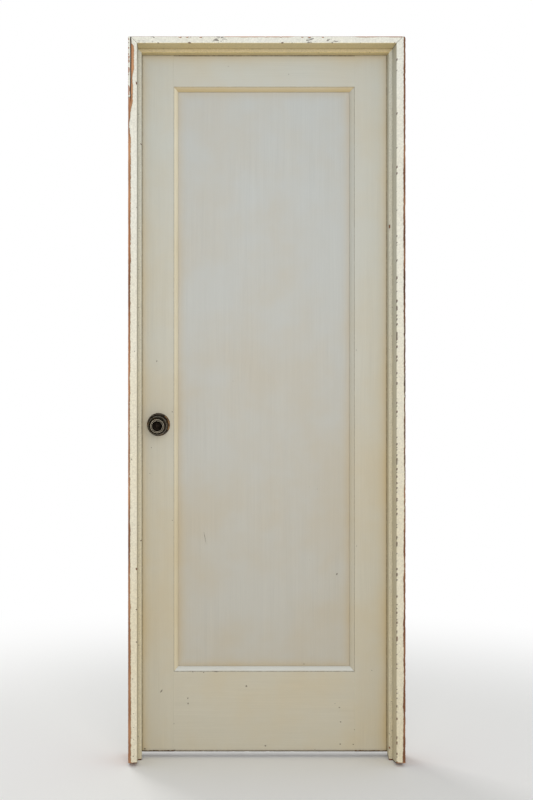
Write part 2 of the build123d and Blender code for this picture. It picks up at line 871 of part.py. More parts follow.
def rose_shell():
    bore = neck_radius + rose_bore_play
    rim = rose_radius
    step = rim - rose_bead_width
    outer = [
        (rim, 0), (rim, rose_edge), (rim - rose_edge, rose_bead_height), (step, rose_bead_height),
        (step, rose_step_height), (bore + rose_slope_end, rose_depth - rose_edge),
        (bore + rose_collar_width, rose_depth), (bore, rose_depth),
    ]
    inner = [
        (bore, rose_depth - rose_wall), (bore + rose_slope_end, rose_depth - rose_edge - rose_wall),
        (step - rose_wall, rose_step_height - rose_wall), (step - rose_wall, 0),
    ]
    return turned(outer + inner)


def upright_rod(y, z0, z1, radius):
    return Pos(0, y, (z0 + z1) / 2) * Cylinder(radius, z1 - z0)


def front_rose():
    """The rose with the two threaded posts that reach into the door."""
    rose = rose_shell()
    for y in (-rose_post_offset, rose_post_offset):
        rose += upright_rod(y, -rose_post_reach, rose_seat, rose_post_radius)
        rose -= upright_rod(y, -rose_post_reach - past, 0, rose_bolt_radius + screw_fit)
    return on_front(rose)


def back_rose():
    """The rose with a seat for each bolt's head."""
    rose = rose_shell()
    for y in (-rose_post_offset, rose_post_offset):
        rim = rose_bolt_head_radius + rose_seat_rim
        rose += upright_rod(y, rose_seat - rose_seat_thickness, rose_seat, rim)
        rose -= upright_rod(y, rose_seat, rose_depth + past, rose_bolt_head_radius + rose_head_play)
        rose -= upright_rod(y, 0, rose_depth, rose_bolt_radius + screw_fit)
    return on_back(rose)


def rose_bolts():
    reach = door_thickness - rose_post_reach + rose_bolt_grip
    bolts = []
    for y in (-rose_post_offset, rose_post_offset):
        bolt = upright_rod(y, -reach, rose_seat, rose_bolt_radius)
        bolt += upright_rod(y, rose_seat, rose_seat + rose_bolt_head_height, rose_bolt_head_radius)
        bolts.append(on_back(bolt))
    return bolts


def bulged(start, end, swell):
    """The middle of a curve that swells to the left of the way from start to end."""
    along_r, along_z = end[0] - start[0], end[1] - start[1]
    length = hypot(along_r, along_z)
    return (
        (start[0] + end[0]) / 2 - swell * along_z / length,
        (start[1] + end[1]) / 2 + swell * along_r / length,
    )


def ring_points():
    """The knob's front from its outer ring to its middle, as (radius, height)."""
    top = knob_projection
    foot, crest = ring_width / 2, ring_crest / 2
    return [
        (outer_ring_radius + crest, top - outer_ring_drop),
        (outer_ring_radius - crest, top - outer_ring_drop),
        (outer_ring_radius - foot, top - ring_depth),
        (inner_ring_radius + foot, top - ring_depth),
        (inner_ring_radius + crest, top),
        (inner_ring_radius - crest, top),
        (dish_radius, top - dish_depth),
        (button_radius, top - dish_depth),
        (button_radius, top - button_depth),
        (0, top - button_depth),
    ]


def knob_body():
    """The ringed knob and its neck, with the square hole for the spindle."""
    r = knob_radius
    top = knob_projection
    neck_end = (neck_radius, neck_length)
    back_end = (r - knob_back_inset, neck_length + knob_back_rise)
    widest = (r, top - knob_side_depth)
    front_end = (r - knob_front_inset, top - knob_front_depth)
    profile = Curve() + [
        Polyline((0, knob_root), (neck_radius, knob_root), neck_end),
        ThreePointArc(neck_end, bulged(neck_end, back_end, knob_flare), back_end),
        ThreePointArc(back_end, bulged(back_end, widest, -knob_back_swell), widest),
        ThreePointArc(widest, bulged(widest, front_end, -knob_front_swell), front_end),
        Polyline(front_end, *ring_points(), (0, knob_root)),
    ]
    knob = revolve(make_face(Plane.XZ * profile), Axis.Z)
    size = spindle_size + 2 * spindle_play
    depth = knob_projection - spindle_end + past
    knob -= Pos(0, 0, depth / 2) * Box(size, size, depth)
    return knob


def set_screw_rod(room=0.0):
    """A headless screw in the neck, from the spindle outwards; it points down on the door."""
    z = neck_length - set_screw_drop
    start = spindle_size / 2 + spindle_play
    length = neck_radius - start - set_screw_sink
    rod = Pos(0, 0, z) * Rot(90, 0, 0) * Cylinder(set_screw_radius + room, length + 4 * room)
    return Pos(0, start + length / 2, 0) * rod


def knob(place, down):
    turned_down = Rot(0, 0, 0 if down > 0 else 180)
    return place(knob_body() - turned_down * set_screw_rod(screw_fit))


def knob_set_screws():
    return [on_front(Rot(0, 0, 180) * set_screw_rod()), on_back(set_screw_rod())]


def knob_spindle():
    reach = knob_projection - spindle_end
    return Pos(knob_x, door_middle, knob_z) * Box(spindle_size, door_thickness + 2 * reach, spindle_size)


# The frame's pieces with their holes, cut from the same shapes that fill them


def cut_all(board, holes):
    for hole in holes:
        board -= hole
    return board


def finished_strike_jamb():
    jamb = cut_strike(side_jamb(strike_face, -1))
    jamb = cut_all(jamb, corner_nails(-1, screw_fit))
    return cut_all(jamb, side_stop_nails(strike_face, 1, screw_fit))


def finished_hinge_jamb():
    jamb = side_jamb(hinge_face, 1)
    for bottom in hinge_bottoms.values():
        jamb -= leaf_pocket(hinge_face, 1, bottom)
    jamb = cut_leaf_screws(jamb, hinge_face, 1)
    jamb = cut_all(jamb, corner_nails(1, screw_fit))
    return cut_all(jamb, side_stop_nails(hinge_face, -1, screw_fit))


def finished_head_jamb():
    jamb = cut_all(head_jamb(), corner_nails(-1, screw_fit) + corner_nails(1, screw_fit))
    return cut_all(jamb, head_stop_nails(screw_fit))


def finished_lock_stile():
    return drill_lock_stile(cut_mortises(stile(line_left, 1, edge_bevel), line_left, -1))


def finished_hinge_stile():
    board = cut_mortises(stile(line_right, -1, 0), line_right, 1)
    for bottom in hinge_bottoms.values():
        board -= leaf_pocket(door_right, -1, bottom)
    return cut_leaf_screws(board, door_right, -1)


def build():
    strike_stop_nails = side_stop_nails(strike_face, 1)
    hinge_stop_nails = side_stop_nails(hinge_face, -1)
    pieces = {
        "strike_jamb": finished_strike_jamb(),
        "hinge_jamb": finished_hinge_jamb(),
        "head_jamb": finished_head_jamb(),
        "strike_stop": cut_all(side_stop(strike_face, 1), side_stop_nails(strike_face, 1, screw_fit)),
        "hinge_stop": cut_all(side_stop(hinge_face, -1), side_stop_nails(hinge_face, -1, screw_fit)),
        "head_stop": cut_all(head_stop(), head_stop_nails(screw_fit)),
        "corner_nails": Compound(corner_nails(-1) + corner_nails(1)),
        "stop_nails": Compound(strike_stop_nails + hinge_stop_nails + head_stop_nails()),
        "strike_plate": strike_plate(),
        "strike_screws": Compound(strike_screws()),
        "jamb_leaf_screws": Compound(leaf_screws(hinge_face, 1)),
        "hinge_tips": Compound([hinge_tip(bottom) for bottom in hinge_bottoms.values()]),
        "lock_stile": finished_lock_stile(),
        "hinge_stile": finished_hinge_stile(),
        "top_rail": tenoned_rail(*rail_kinds[0]),
        "bottom_rail": tenoned_rail(*rail_kinds[1]),
        "door_panel": door_panel(),
        "door_leaf_screws": Compound(leaf_screws(door_right, -1)),
        "latch_case": latch_case(),
        "latch_faceplate": latch_faceplate(),
        "latch_screws": Compound(latch_screws()),
        "latch_bolt": latch_bolt(),
        "latch_hub": latch_hub(),
        "front_rose": front_rose(),
        "back_rose": back_rose(),
        "rose_bolts": Compound(rose_bolts()),
        "front_knob": knob(on_front, -1),
        "back_knob": knob(on_back, 1),
        "knob_spindle": knob_spindle(),
        "knob_set_screws": Compound(knob_set_screws()),
    }
    for name, bottom in hinge_bottoms.items():
        pieces[f"{name}_hinge_jamb_leaf"] = hinge_leaf(hinge_face, 1, bottom, 0)
        pieces[f"{name}_hinge_door_leaf"] = hinge_leaf(door_right, -1, bottom, 1)
        pieces[f"{name}_hinge_pin"] = hinge_pin(bottom)
    return pieces


for piece_name, piece in build().items():
    save(piece, piece_name)
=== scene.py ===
import json
import math
import random

import bmesh
import bpy
import numpy as np
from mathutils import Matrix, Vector, noise


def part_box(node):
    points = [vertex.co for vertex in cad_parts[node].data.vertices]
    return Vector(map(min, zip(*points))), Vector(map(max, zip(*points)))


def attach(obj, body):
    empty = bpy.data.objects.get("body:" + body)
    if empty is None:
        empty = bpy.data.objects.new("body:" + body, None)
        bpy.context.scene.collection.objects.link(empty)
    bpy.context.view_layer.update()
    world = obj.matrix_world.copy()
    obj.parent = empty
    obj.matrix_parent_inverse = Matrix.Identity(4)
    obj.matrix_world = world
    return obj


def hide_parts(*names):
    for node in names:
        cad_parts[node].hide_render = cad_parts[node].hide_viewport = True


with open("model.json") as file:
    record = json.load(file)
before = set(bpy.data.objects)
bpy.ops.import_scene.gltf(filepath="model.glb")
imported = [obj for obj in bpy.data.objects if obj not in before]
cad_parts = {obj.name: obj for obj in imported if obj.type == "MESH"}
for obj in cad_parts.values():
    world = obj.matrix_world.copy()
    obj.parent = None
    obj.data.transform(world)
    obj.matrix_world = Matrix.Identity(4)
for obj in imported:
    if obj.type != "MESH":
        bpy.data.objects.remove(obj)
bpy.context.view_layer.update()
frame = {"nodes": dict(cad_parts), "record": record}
print("frame loaded:", len(frame["nodes"]), "nodes")

mm = 0.001


# colours are written as they look, 0 to 255, and turned into what a shader needs
def shade(*levels):
    def linear(part):
        return part / 12.92 if part <= 0.04045 else ((part + 0.055) / 1.055) ** 2.4
    return tuple(linear(level / 255) for level in levels) + (1.0,)


# Helpers for node trees

def addNode(tree, kind, **settings):
    node = tree.nodes.new(kind)
    for name, value in settings.items():
        if name.startswith("in_"):
            node.inputs[name[3:]].default_value = value
        else:
            setattr(node, name, value)
    return node


def feed(tree, socket, value):
    if isinstance(value, (int, float, tuple)):
        socket.default_value = value
    else:
        tree.links.new(value, socket)


def feedAll(tree, node, values):
    for place, value in values.items():
        feed(tree, node.inputs[place], value)
    return node.outputs


def mathNode(tree, operation, *values, clamp=False):
    node = addNode(tree, "ShaderNodeMath", operation=operation, use_clamp=clamp)
    return feedAll(tree, node, dict(enumerate(values)))[0]


def vectorNode(tree, operation, *values):
    node = addNode(tree, "ShaderNodeVectorMath", operation=operation)
    return feedAll(tree, node, dict(enumerate(values)))["Value" if operation == "LENGTH" else "Vector"]


def mixColour(tree, factor, first, second, blend="MIX"):
    node = addNode(tree, "ShaderNodeMix", data_type="RGBA", blend_type=blend)
    return feedAll(tree, node, {0: factor, 6: first, 7: second})[2]


def rangeNode(tree, value, low, high, outLow=0.0, outHigh=1.0, kind="SMOOTHSTEP"):
    node = addNode(tree, "ShaderNodeMapRange", clamp=True, interpolation_type=kind)
    ends = {"From Min": low, "From Max": high, "To Min": outLow, "To Max": outHigh}
    return feedAll(tree, node, {"Value": value, **ends})["Result"]


def noiseNode(tree, vector, scale, detail=2.0, rough=0.5):
    node = addNode(tree, "ShaderNodeTexNoise", in_Detail=detail, in_Roughness=rough)
    return feedAll(tree, node, {"Vector": vector, "Scale": scale})["Fac"]


def splitVector(tree, vector):
    return feedAll(tree, addNode(tree, "ShaderNodeSeparateXYZ"), {0: vector})


def attribute(tree, name):
    return addNode(tree, "ShaderNodeAttribute", attribute_name=name).outputs["Fac"]


# Lays a tree's nodes out in columns, by how many links they are from its end
def arrange(tree):
    column = {node.name: 0 for node in tree.nodes}
    for _ in column:
        for link in tree.links:
            step = column[link.to_node.name] + 1
            column[link.from_node.name] = max(column[link.from_node.name], step)
    filled = {}
    for node in tree.nodes:
        place = column[node.name]
        filled[place] = filled.get(place, 0) + 1
        node.location = (-260 * place, -240 * filled[place])


# An input is given as its default number, or as its kind of socket
def newGroup(name, inputs, outputs):
    group = bpy.data.node_groups.new(name, "ShaderNodeTree")
    for label, value in inputs.items():
        kind = "Float" if isinstance(value, float) else value
        socket = group.interface.new_socket(label, in_out="INPUT", socket_type="NodeSocket" + kind)
        if isinstance(value, float):
            socket.default_value = value
    for label, kind in outputs.items():
        group.interface.new_socket(label, in_out="OUTPUT", socket_type="NodeSocket" + kind)
    return group, addNode(group, "NodeGroupInput").outputs, addNode(group, "NodeGroupOutput").inputs


# Brush strokes in paint; the vector's Z runs along the board
def makeBrushStrokes():
    group, given, result = newGroup("brushStrokes", {"Vector": "Vector", "Fineness": 420.0, "Patches": 5.0},
                                    {"Strokes": "Float"})
    along = vectorNode(group, "MULTIPLY", given["Vector"], (1.0, 1.0, 0.016))
    fine = noiseNode(group, along, given["Fineness"], 3.0, 0.6)
    both = mathNode(group, "MULTIPLY_ADD", noiseNode(group, along, 70.0), 0.45, fine)
    patches = noiseNode(group, given["Vector"], given["Patches"])
    strength = rangeNode(group, patches, 0.35, 0.65, 0.35, 1.0)
    centred = mathNode(group, "SUBTRACT", both, 0.725)
    feed(group, result["Strokes"], mathNode(group, "MULTIPLY", centred, strength))
    return group


# Paint lost where the surface is worn: a ragged mask, and the rim of older coats round it
def makeChippedPaint():
    group, given, result = newGroup(
        "chippedPaint", {"Vector": "Vector", "Wear": 0.0, "Grain": 330.0, "Raggedness": 0.55},
        {"Bare": "Float", "Rim": "Float"})
    ragged = mathNode(group, "SUBTRACT", noiseNode(group, given["Vector"], given["Grain"], 4.0, 0.65), 0.5)
    spread = mathNode(group, "MULTIPLY", ragged, given["Raggedness"])
    total = mathNode(group, "ADD", given["Wear"], spread)
    bare = rangeNode(group, total, 0.46, 0.54)
    feed(group, result["Bare"], bare)
    outer = rangeNode(group, total, 0.34, 0.44)
    feed(group, result["Rim"], mathNode(group, "SUBTRACT", outer, bare, clamp=True))
    return group


# Softwood; the vector's Z runs along the grain
def makeSoftwood():
    group, given, result = newGroup(
        "softwoodGrain", {"Vector": "Vector", "Light": "Color", "Dark": "Color", "Spacing": 60.0},
        {"Color": "Color", "Height": "Float"})
    along = vectorNode(group, "MULTIPLY", given["Vector"], (1.0, 1.0, 0.022))
    tilted = addNode(group, "ShaderNodeMapping", in_Rotation=(0.6, 0.5, 0.4))  # or the noise's grid shows
    tilted = feedAll(group, tilted, {"Vector": along})[0]
    rings = noiseNode(group, tilted, given["Spacing"], 3.0, 0.55)
    fine = vectorNode(group, "MULTIPLY", given["Vector"], (1.0, 1.0, 0.012))
    fibre = mathNode(group, "MULTIPLY", noiseNode(group, fine, 900.0, 2.0, 0.6), 0.4)
    both = mathNode(group, "MULTIPLY_ADD", rangeNode(group, rings, 0.38, 0.62), 0.7, fibre)
    feed(group, result["Color"], mixColour(group, both, given["Dark"], given["Light"]))
    feed(group, result["Height"], both)
    return group


# How yellow the paint is made: in clouds of real yellowing; beside the stops and moulding as painted shade
# with yellowing; on faces turned down as painted warm bounce light; and more towards the floor
def makeYellowingAndBounceLight():
    group, given, result = newGroup("yellowedPaint", {
        "Vector": "Vector", "Normal": "Vector", "Sheltered": 0.0, "Clouds": 0.3, "Low": 0.35, "Under": 0.8},
        {"Amount": "Float"})
    lower = rangeNode(group, splitVector(group, given["Vector"])["Z"], 0.3, 2.0, 1.0, 0.0)
    facing = splitVector(group, given["Normal"])["Z"]
    cloudy = rangeNode(group, noiseNode(group, given["Vector"], 3.2, 4.0, 0.6), 0.36, 0.68)
    total = mathNode(group, "MULTIPLY_ADD", cloudy, given["Clouds"], given["Sheltered"])
    total = mathNode(group, "MULTIPLY_ADD", lower, given["Low"], total)
    total = mathNode(group, "MULTIPLY_ADD", rangeNode(group, facing, -0.12, -0.6), given["Under"], total)
    # faces turned up are kept paler: painted light from above
    over = rangeNode(group, facing, 0.15, 0.6, 0.0, -0.5)  # ledges stay paler
    feed(group, result["Amount"], mathNode(group, "ADD", total, over, clamp=True))
    return group


# Pits and specks of dirt, scattered and sparse
def makeSpecks():
    group, given, result = newGroup("scatteredSpecks", {
        "Vector": "Vector", "Spacing": 30.0, "Size": 0.06, "Share": 0.25}, {"Mask": "Float"})
    warp = addNode(group, "ShaderNodeTexNoise", in_Scale=260.0, in_Detail=2.0)
    warp = feedAll(group, warp, {"Vector": given["Vector"]})["Color"]
    bent = vectorNode(group, "MULTIPLY_ADD", warp, (0.0035, 0.0035, 0.0035), given["Vector"])
    cells = addNode(group, "ShaderNodeTexVoronoi")
    cells = feedAll(group, cells, {"Vector": bent, "Scale": given["Spacing"]})
    pick = splitVector(group, cells["Color"])
    reach = mathNode(group, "MULTIPLY", pick["Y"], given["Size"])
    near = mathNode(group, "LESS_THAN", cells["Distance"], reach)
    chosen = mathNode(group, "LESS_THAN", pick["X"], given["Share"])
    feed(group, result["Mask"], mathNode(group, "MULTIPLY", near, chosen))
    return group


# Thin cracks along the grain, only where the zone says so
def makeCracks():
    group, given, result = newGroup(
        "grainCracks", {"Vector": "Vector", "Zone": 0.0, "Spread": 60.0, "Width": 0.02}, {"Mask": "Float"})
    along = vectorNode(group, "MULTIPLY", given["Vector"], (1.0, 1.0, 0.14))
    waves = mathNode(group, "SUBTRACT", noiseNode(group, along, given["Spread"], 3.0, 0.65), 0.5)
    line = mathNode(group, "LESS_THAN", mathNode(group, "ABSOLUTE", waves), given["Width"])
    gate = mathNode(group, "ADD", noiseNode(group, given["Vector"], 90.0), given["Zone"])
    opened = mathNode(group, "GREATER_THAN", gate, 1.02)
    feed(group, result["Mask"], mathNode(group, "MULTIPLY", line, opened))
    return group


# One dent or scratch at a given place
def makeMark():
    group, given, result = newGroup("placedMark", {
        "Vector": "Vector", "Place": "Vector", "Turn": "Vector", "Wide": 0.003, "Tall": 0.006, "Ragged": 0.5},
        {"Mask": "Float"})
    spot = feedAll(group, addNode(group, "ShaderNodeMapping", vector_type="TEXTURE"),
                   {"Vector": given["Vector"], "Location": given["Place"], "Rotation": given["Turn"]})[0]
    parts = splitVector(group, spot)
    sizes = {"X": given["Wide"], "Y": 0.006, "Z": given["Tall"]}
    shares = {axis: mathNode(group, "DIVIDE", parts[axis], size) for axis, size in sizes.items()}
    joined = feedAll(group, addNode(group, "ShaderNodeCombineXYZ"), shares)[0]
    edge = mathNode(group, "MULTIPLY_ADD", given["Ragged"], 2.2, vectorNode(group, "LENGTH", joined))
    feed(group, result["Mask"], rangeNode(group, edge, 1.6, 1.95, 1.0, 0.0))
    return group


groups = {
    "brush": makeBrushStrokes(), "chips": makeChippedPaint(), "grain": makeSoftwood(),
    "yellow": makeYellowingAndBounceLight(), "specks": makeSpecks(), "cracks": makeCracks(), "mark": makeMark(),
}
print("shared node groups made:", len(groups))


def useGroup(tree, key, **values):
    return feedAll(tree, addNode(tree, "ShaderNodeGroup", node_tree=groups[key]), values)


def newMaterial(name):
    material = bpy.data.materials.new(name)
    material.use_nodes = True
    tree = material.node_tree
    tree.nodes.clear()
    shader = addNode(tree, "ShaderNodeBsdfPrincipled")
    feed(tree, addNode(tree, "ShaderNodeOutputMaterial").inputs["Surface"], shader.outputs[0])
    return material, tree, shader.inputs, addNode(tree, "ShaderNodeTexCoord").outputs


def addRelief(tree, shader, height, distance, strength):
    bump = addNode(tree, "ShaderNodeBump", in_Distance=distance, in_Strength=strength)
    feed(tree, shader["Normal"], feedAll(tree, bump, {"Height": height})[0])


# Places that the frame gives
strikeLow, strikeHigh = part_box("strike_jamb")
hingeLow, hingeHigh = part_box("hinge_jamb")
headLow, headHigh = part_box("head_jamb")
stopLow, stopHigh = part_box("strike_stop")
farStopLow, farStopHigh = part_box("hinge_stop")
headStopLow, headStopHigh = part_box("head_stop")
lockLow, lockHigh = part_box("lock_stile")
hangLow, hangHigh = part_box("hinge_stile")
topLow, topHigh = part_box("top_rail")
footLow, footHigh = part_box("bottom_rail")
panelLow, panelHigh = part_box("door_panel")
roseLow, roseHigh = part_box("front_rose")
knobX, knobZ = (roseLow.x + roseHigh.x) / 2, (roseLow.z + roseHigh.z) / 2
frontY, rearY = strikeLow.y, strikeHigh.y
doorLeft, doorRight = lockLow.x, hangHigh.x
doorBottom, doorTop = lockLow.z, lockHigh.z
doorFront, doorBack = lockLow.y, lockHigh.y
middleY = (doorFront + doorBack) / 2


# One cream paint is written in three shades: the frame's lighter as painted light on its front faces, the
# door's darker as painted shade in the recess, and the panel's cooler grey as painted shade lit by a blue sky
paintLook = {
    "framePaint": shade(227, 227, 217), "frameYellow": shade(212, 191, 138),
    "doorPaint": shade(191, 193, 186), "doorYellow": shade(194, 175, 134),
    "panelPaint": shade(184, 188, 187), "panelYellow": shade(184, 170, 142),
    "innerPaint": shade(202, 202, 190), "creamPaint": shade(226, 219, 196),
    "ledgePaint": shade(212, 213, 207),
    "olderCoat": shade(128, 116, 98), "grime": shade(92, 76, 50),
    "bareLight": shade(224, 170, 124), "bareDark": shade(158, 96, 56),
    "dirtyLight": shade(122, 76, 46), "dirtyDark": shade(48, 29, 19),
    "gloss": 0.46, "bareGloss": 0.85, "thickness": 0.35 * mm, "strokes": 0.16, "under": 0.85,
}

# dents and scratches on the side with the stops: millimetres from the door's lower left corner,
# half sizes across and up, and a tilt in degrees
stileMarks = [(51, 1107, 1.6, 3.2, 20), (36, 862, 1.2, 2.0, 0), (64, 171, 2.2, 7.0, 35), (17, 8, 3.5, 3.0, 0)]
railMarks = [
    (139, 151, 2.2, 3.0, 0), (140, 136, 2.2, 3.2, 0), (305, 185, 3.0, 3.0, 40), (98, 79, 4.0, 2.2, 10),
    (184, 224, 3.4, 1.5, 0), (220, 226, 9.0, 1.0, 0), (359, 16, 3.0, 3.4, 60), (569, 125, 3.4, 2.0, 0),
    (572, 84, 2.8, 2.2, 0), (612, 62, 2.4, 2.4, 0), (571, 21, 3.2, 2.6, 0), (608, 20, 3.0, 2.2, 20),
    (101, 3, 4.0, 4.0, 0),
]
panelMarks = [(563, 501, 2.4, 4.4, 20), (188, 604, 0.9, 22.0, -11), (470, 245, 3.0, 1.6, 0)]
jambMarks = [
    (-12, 132, 1.6, 1.6, 0), (-12, 94, 1.5, 1.8, 0), (-12, 61, 1.5, 1.5, 0), (-11, 33, 1.6, 1.4, 0),
    (-13, 14, 1.5, 1.7, 0), (-9, 1133, 1.6, 2.6, 0), (-14, 228, 1.3, 3.0, 10), (-17, 834, 1.6, 3.4, 0),
]


# inner is a second colour laid where the coat-and-light mask is 1: on the frame's reveals and stops a darker
# older coat that is also painted shade of the recess, on the door's mouldings a lighter colour that is
# painted light; with it come cracks; specks are (spacing, share, size)
def paintedWood(name, paint, yellow, along="z", sheltered=0.6, clouds=0.3, low=0.4, specks=(46.0, 0.14, 0.06),
                mottle=0.0, marks=(), markDepth=0.0, inner=None):
    look = paintLook
    material, tree, shader, coords = newMaterial(name)
    flat = board = coords["Object"]
    if along == "x":  # turned so that Z runs along the board
        turn = addNode(tree, "ShaderNodeMapping", in_Rotation=(0, math.radians(90), 0))
        board = feedAll(tree, turn, {"Vector": flat})[0]

    # rim is 1 beside the stops and moulding; the yellow it brings there is painted shade and bounce light
    # together with yellowing
    rim = mathNode(tree, "MULTIPLY", attribute(tree, "rim"), sheltered)
    yellowAndBounce = useGroup(tree, "yellow", Vector=flat, Normal=coords["Normal"], Sheltered=rim, Clouds=clouds,
                    Low=low, Under=look["under"])
    strokes = useGroup(tree, "brush", Vector=board)["Strokes"]
    chips = useGroup(tree, "chips", Vector=board, Wear=attribute(tree, "wear"))
    pale = attribute(tree, "pale")
    tones = {tone: mixColour(tree, pale, look["dirty" + tone], look["bare" + tone])
             for tone in ("Light", "Dark")}
    wood = useGroup(tree, "grain", Vector=board, **tones)["Color"]
    spacing, share, size = specks
    pits = useGroup(tree, "specks", Vector=board, Spacing=spacing, Size=size, Share=share)["Mask"]
    paint = look[paint]
    if inner:
        paint = mixColour(tree, attribute(tree, "coat"), paint, look[inner])
        cracks = useGroup(tree, "cracks", Vector=board, Zone=attribute(tree, "zone"))["Mask"]
        pits = mathNode(tree, "MAXIMUM", pits, cracks)
    ragged = noiseNode(tree, flat, 700.0, 3.0, 0.6)
    for x, z, wide, tall, tilt in marks:
        mark = useGroup(tree, "mark", Vector=flat, Place=(doorLeft + x * mm, markDepth, doorBottom + z * mm),
                        Turn=(0.0, math.radians(tilt), 0.0), Wide=wide * mm, Tall=tall * mm,
                        Ragged=ragged)["Mask"]
        pits = mathNode(tree, "MAXIMUM", pits, mark)

    # the yellow colour stands for real yellowing and also for painted shade and warm bounce light
    mixed = mixColour(tree, yellowAndBounce["Amount"], paint, look[yellow])
    tone = mathNode(tree, "MULTIPLY_ADD", strokes, look["strokes"], 1.0)
    if mottle:
        grain = mathNode(tree, "SUBTRACT", noiseNode(tree, flat, 240.0, 3.0, 0.7), 0.5)
        tone = mathNode(tree, "MULTIPLY_ADD", grain, mottle, tone)
    mixed = mixColour(tree, 1.0, mixed, tone, "MULTIPLY")
    stain = rangeNode(tree, noiseNode(tree, flat, 140.0, 3.0, 0.6), 0.3, 0.6, 0.55, 1.0)
    # the grime mask darkens real dirt and also painted shade in creases, along the stops and under the head
    grime = mathNode(tree, "MULTIPLY", attribute(tree, "grime"), stain)
    dark = mathNode(tree, "MAXIMUM", mathNode(tree, "MULTIPLY", pits, 0.7), attribute(tree, "split"))
    for mask, over in ((chips["Rim"], look["olderCoat"]), (chips["Bare"], wood), (grime, look["grime"]),
                       (dark, look["dirtyDark"])):
        mixed = mixColour(tree, mask, mixed, over)
    feed(tree, shader["Base Color"], mixed)
    gloss = rangeNode(tree, chips["Bare"], 0.0, 1.0, look["gloss"], look["bareGloss"], "LINEAR")
    feed(tree, shader["Roughness"], gloss)

    cover = mathNode(tree, "SUBTRACT", 1.0, chips["Bare"])
    relief = mathNode(tree, "MULTIPLY_ADD", strokes, 0.3, cover)
    addRelief(tree, shader, mathNode(tree, "MULTIPLY_ADD", pits, -1.4, relief), look["thickness"], 0.8)
    return material


frameKind = {"paint": "framePaint", "yellow": "frameYellow", "inner": "innerPaint", "clouds": 0.12,
             "low": 0.42, "specks": (90.0, 0.3, 0.13), "mottle": 0.7}
doorKind = {"paint": "doorPaint", "yellow": "doorYellow", "clouds": 0.25, "sheltered": 0.75,
            "markDepth": doorFront}
woodLooks = {
    "frameUpright": {**frameKind, "marks": jambMarks, "markDepth": frontY},
    "frameAcross": {**frameKind, "along": "x"},
    "doorUpright": {**doorKind, "inner": "creamPaint", "marks": stileMarks},
    "doorAcross": {**doorKind, "inner": "ledgePaint", "marks": railMarks, "along": "x"},
    "doorPanel": {"paint": "panelPaint", "yellow": "panelYellow", "specks": (46.0, 0.05, 0.06),
                  "marks": panelMarks, "markDepth": panelLow.y},
}
materials = {name: paintedWood(name, **values) for name, values in woodLooks.items()}


metalLook = {
    "bronze": {"body": shade(52, 46, 39), "deep": shade(13, 10, 8), "glow": shade(122, 90, 54),
               "worn": shade(112, 106, 94), "rough": 0.24},
    "plate": {"body": shade(96, 78, 54), "deep": shade(40, 30, 20), "glow": shade(122, 94, 58),
              "worn": shade(158, 132, 88), "rough": 0.42},
    "brass": {"body": shade(150, 116, 66), "deep": shade(60, 42, 22), "glow": shade(176, 140, 84),
              "worn": shade(204, 172, 112), "rough": 0.32},
    "steel": {"body": shade(118, 115, 110), "deep": shade(62, 52, 44), "glow": shade(126, 112, 98),
              "worn": shade(160, 158, 154), "rough": 0.42},
    "nail": {"body": shade(92, 72, 58), "deep": shade(70, 40, 24), "glow": shade(112, 74, 50),
             "worn": shade(130, 118, 108), "rough": 0.6},
}


# Metal with a dark patina, rubbed through on the crests and dirty in the hollows
def agedMetal(name, look):
    material, tree, shader, coords = newMaterial(name)
    solid = coords["Object"]
    spots = noiseNode(tree, solid, 130.0, 4.0, 0.6)
    rubbed = useGroup(tree, "chips", Vector=solid, Wear=attribute(tree, "wear"), Grain=260.0, Raggedness=0.16)
    mixed = mixColour(tree, rangeNode(tree, spots, 0.3, 0.7, 0.0, 0.55), look["body"], look["deep"])
    warm = rangeNode(tree, noiseNode(tree, solid, 46.0), 0.5, 0.72, 0.0, 0.6)
    mixed = mixColour(tree, warm, mixed, look["glow"])
    mixed = mixColour(tree, attribute(tree, "grime"), mixed, look["deep"])
    mixed = mixColour(tree, mathNode(tree, "MULTIPLY", rubbed["Bare"], 0.9), mixed, look["worn"])
    feed(tree, shader["Base Color"], mixed)
    feed(tree, shader["Metallic"], 1.0)
    rough = rangeNode(tree, spots, 0.3, 0.7, look["rough"] - 0.05, look["rough"] + 0.12)
    feed(tree, shader["Roughness"], rough)
    addRelief(tree, shader, noiseNode(tree, solid, 900.0, 3.0, 0.6), 0.05 * mm, 0.35)
    return material


for key, values in metalLook.items():
    materials[key] = agedMetal(key + "Aged", values)


# Hinges painted over with the door, the paint broken away in places
def paintedMetal(name):
    material, tree, shader, coords = newMaterial(name)
    solid = coords["Object"]
    worn = rangeNode(tree, noiseNode(tree, solid, 90.0, 4.0, 0.65), 0.45, 0.8, 0.12, 0.8)
    thick = noiseNode(tree, solid, 260.0, 3.0, 0.5)
    chips = useGroup(tree, "chips", Vector=solid, Wear=worn, Grain=420.0, Raggedness=0.45)
    mixed = mixColour(tree, thick, paintLook["doorYellow"], paintLook["doorPaint"])
    mixed = mixColour(tree, chips["Rim"], mixed, paintLook["olderCoat"])
    feed(tree, shader["Base Color"], mixColour(tree, chips["Bare"], mixed, metalLook["plate"]["body"]))
    feed(tree, shader["Metallic"], chips["Bare"])
    feed(tree, shader["Roughness"], 0.45)
    cover = mathNode(tree, "SUBTRACT", 1.0, chips["Bare"])
    addRelief(tree, shader, mathNode(tree, "MULTIPLY_ADD", thick, 0.4, cover), 0.25 * mm, 0.6)
    return material


materials["hinge"] = paintedMetal("hingePainted")
for tree in [*groups.values()] + [material.node_tree for material in materials.values()]:
    arrange(tree)
print("materials made:", len(materials))


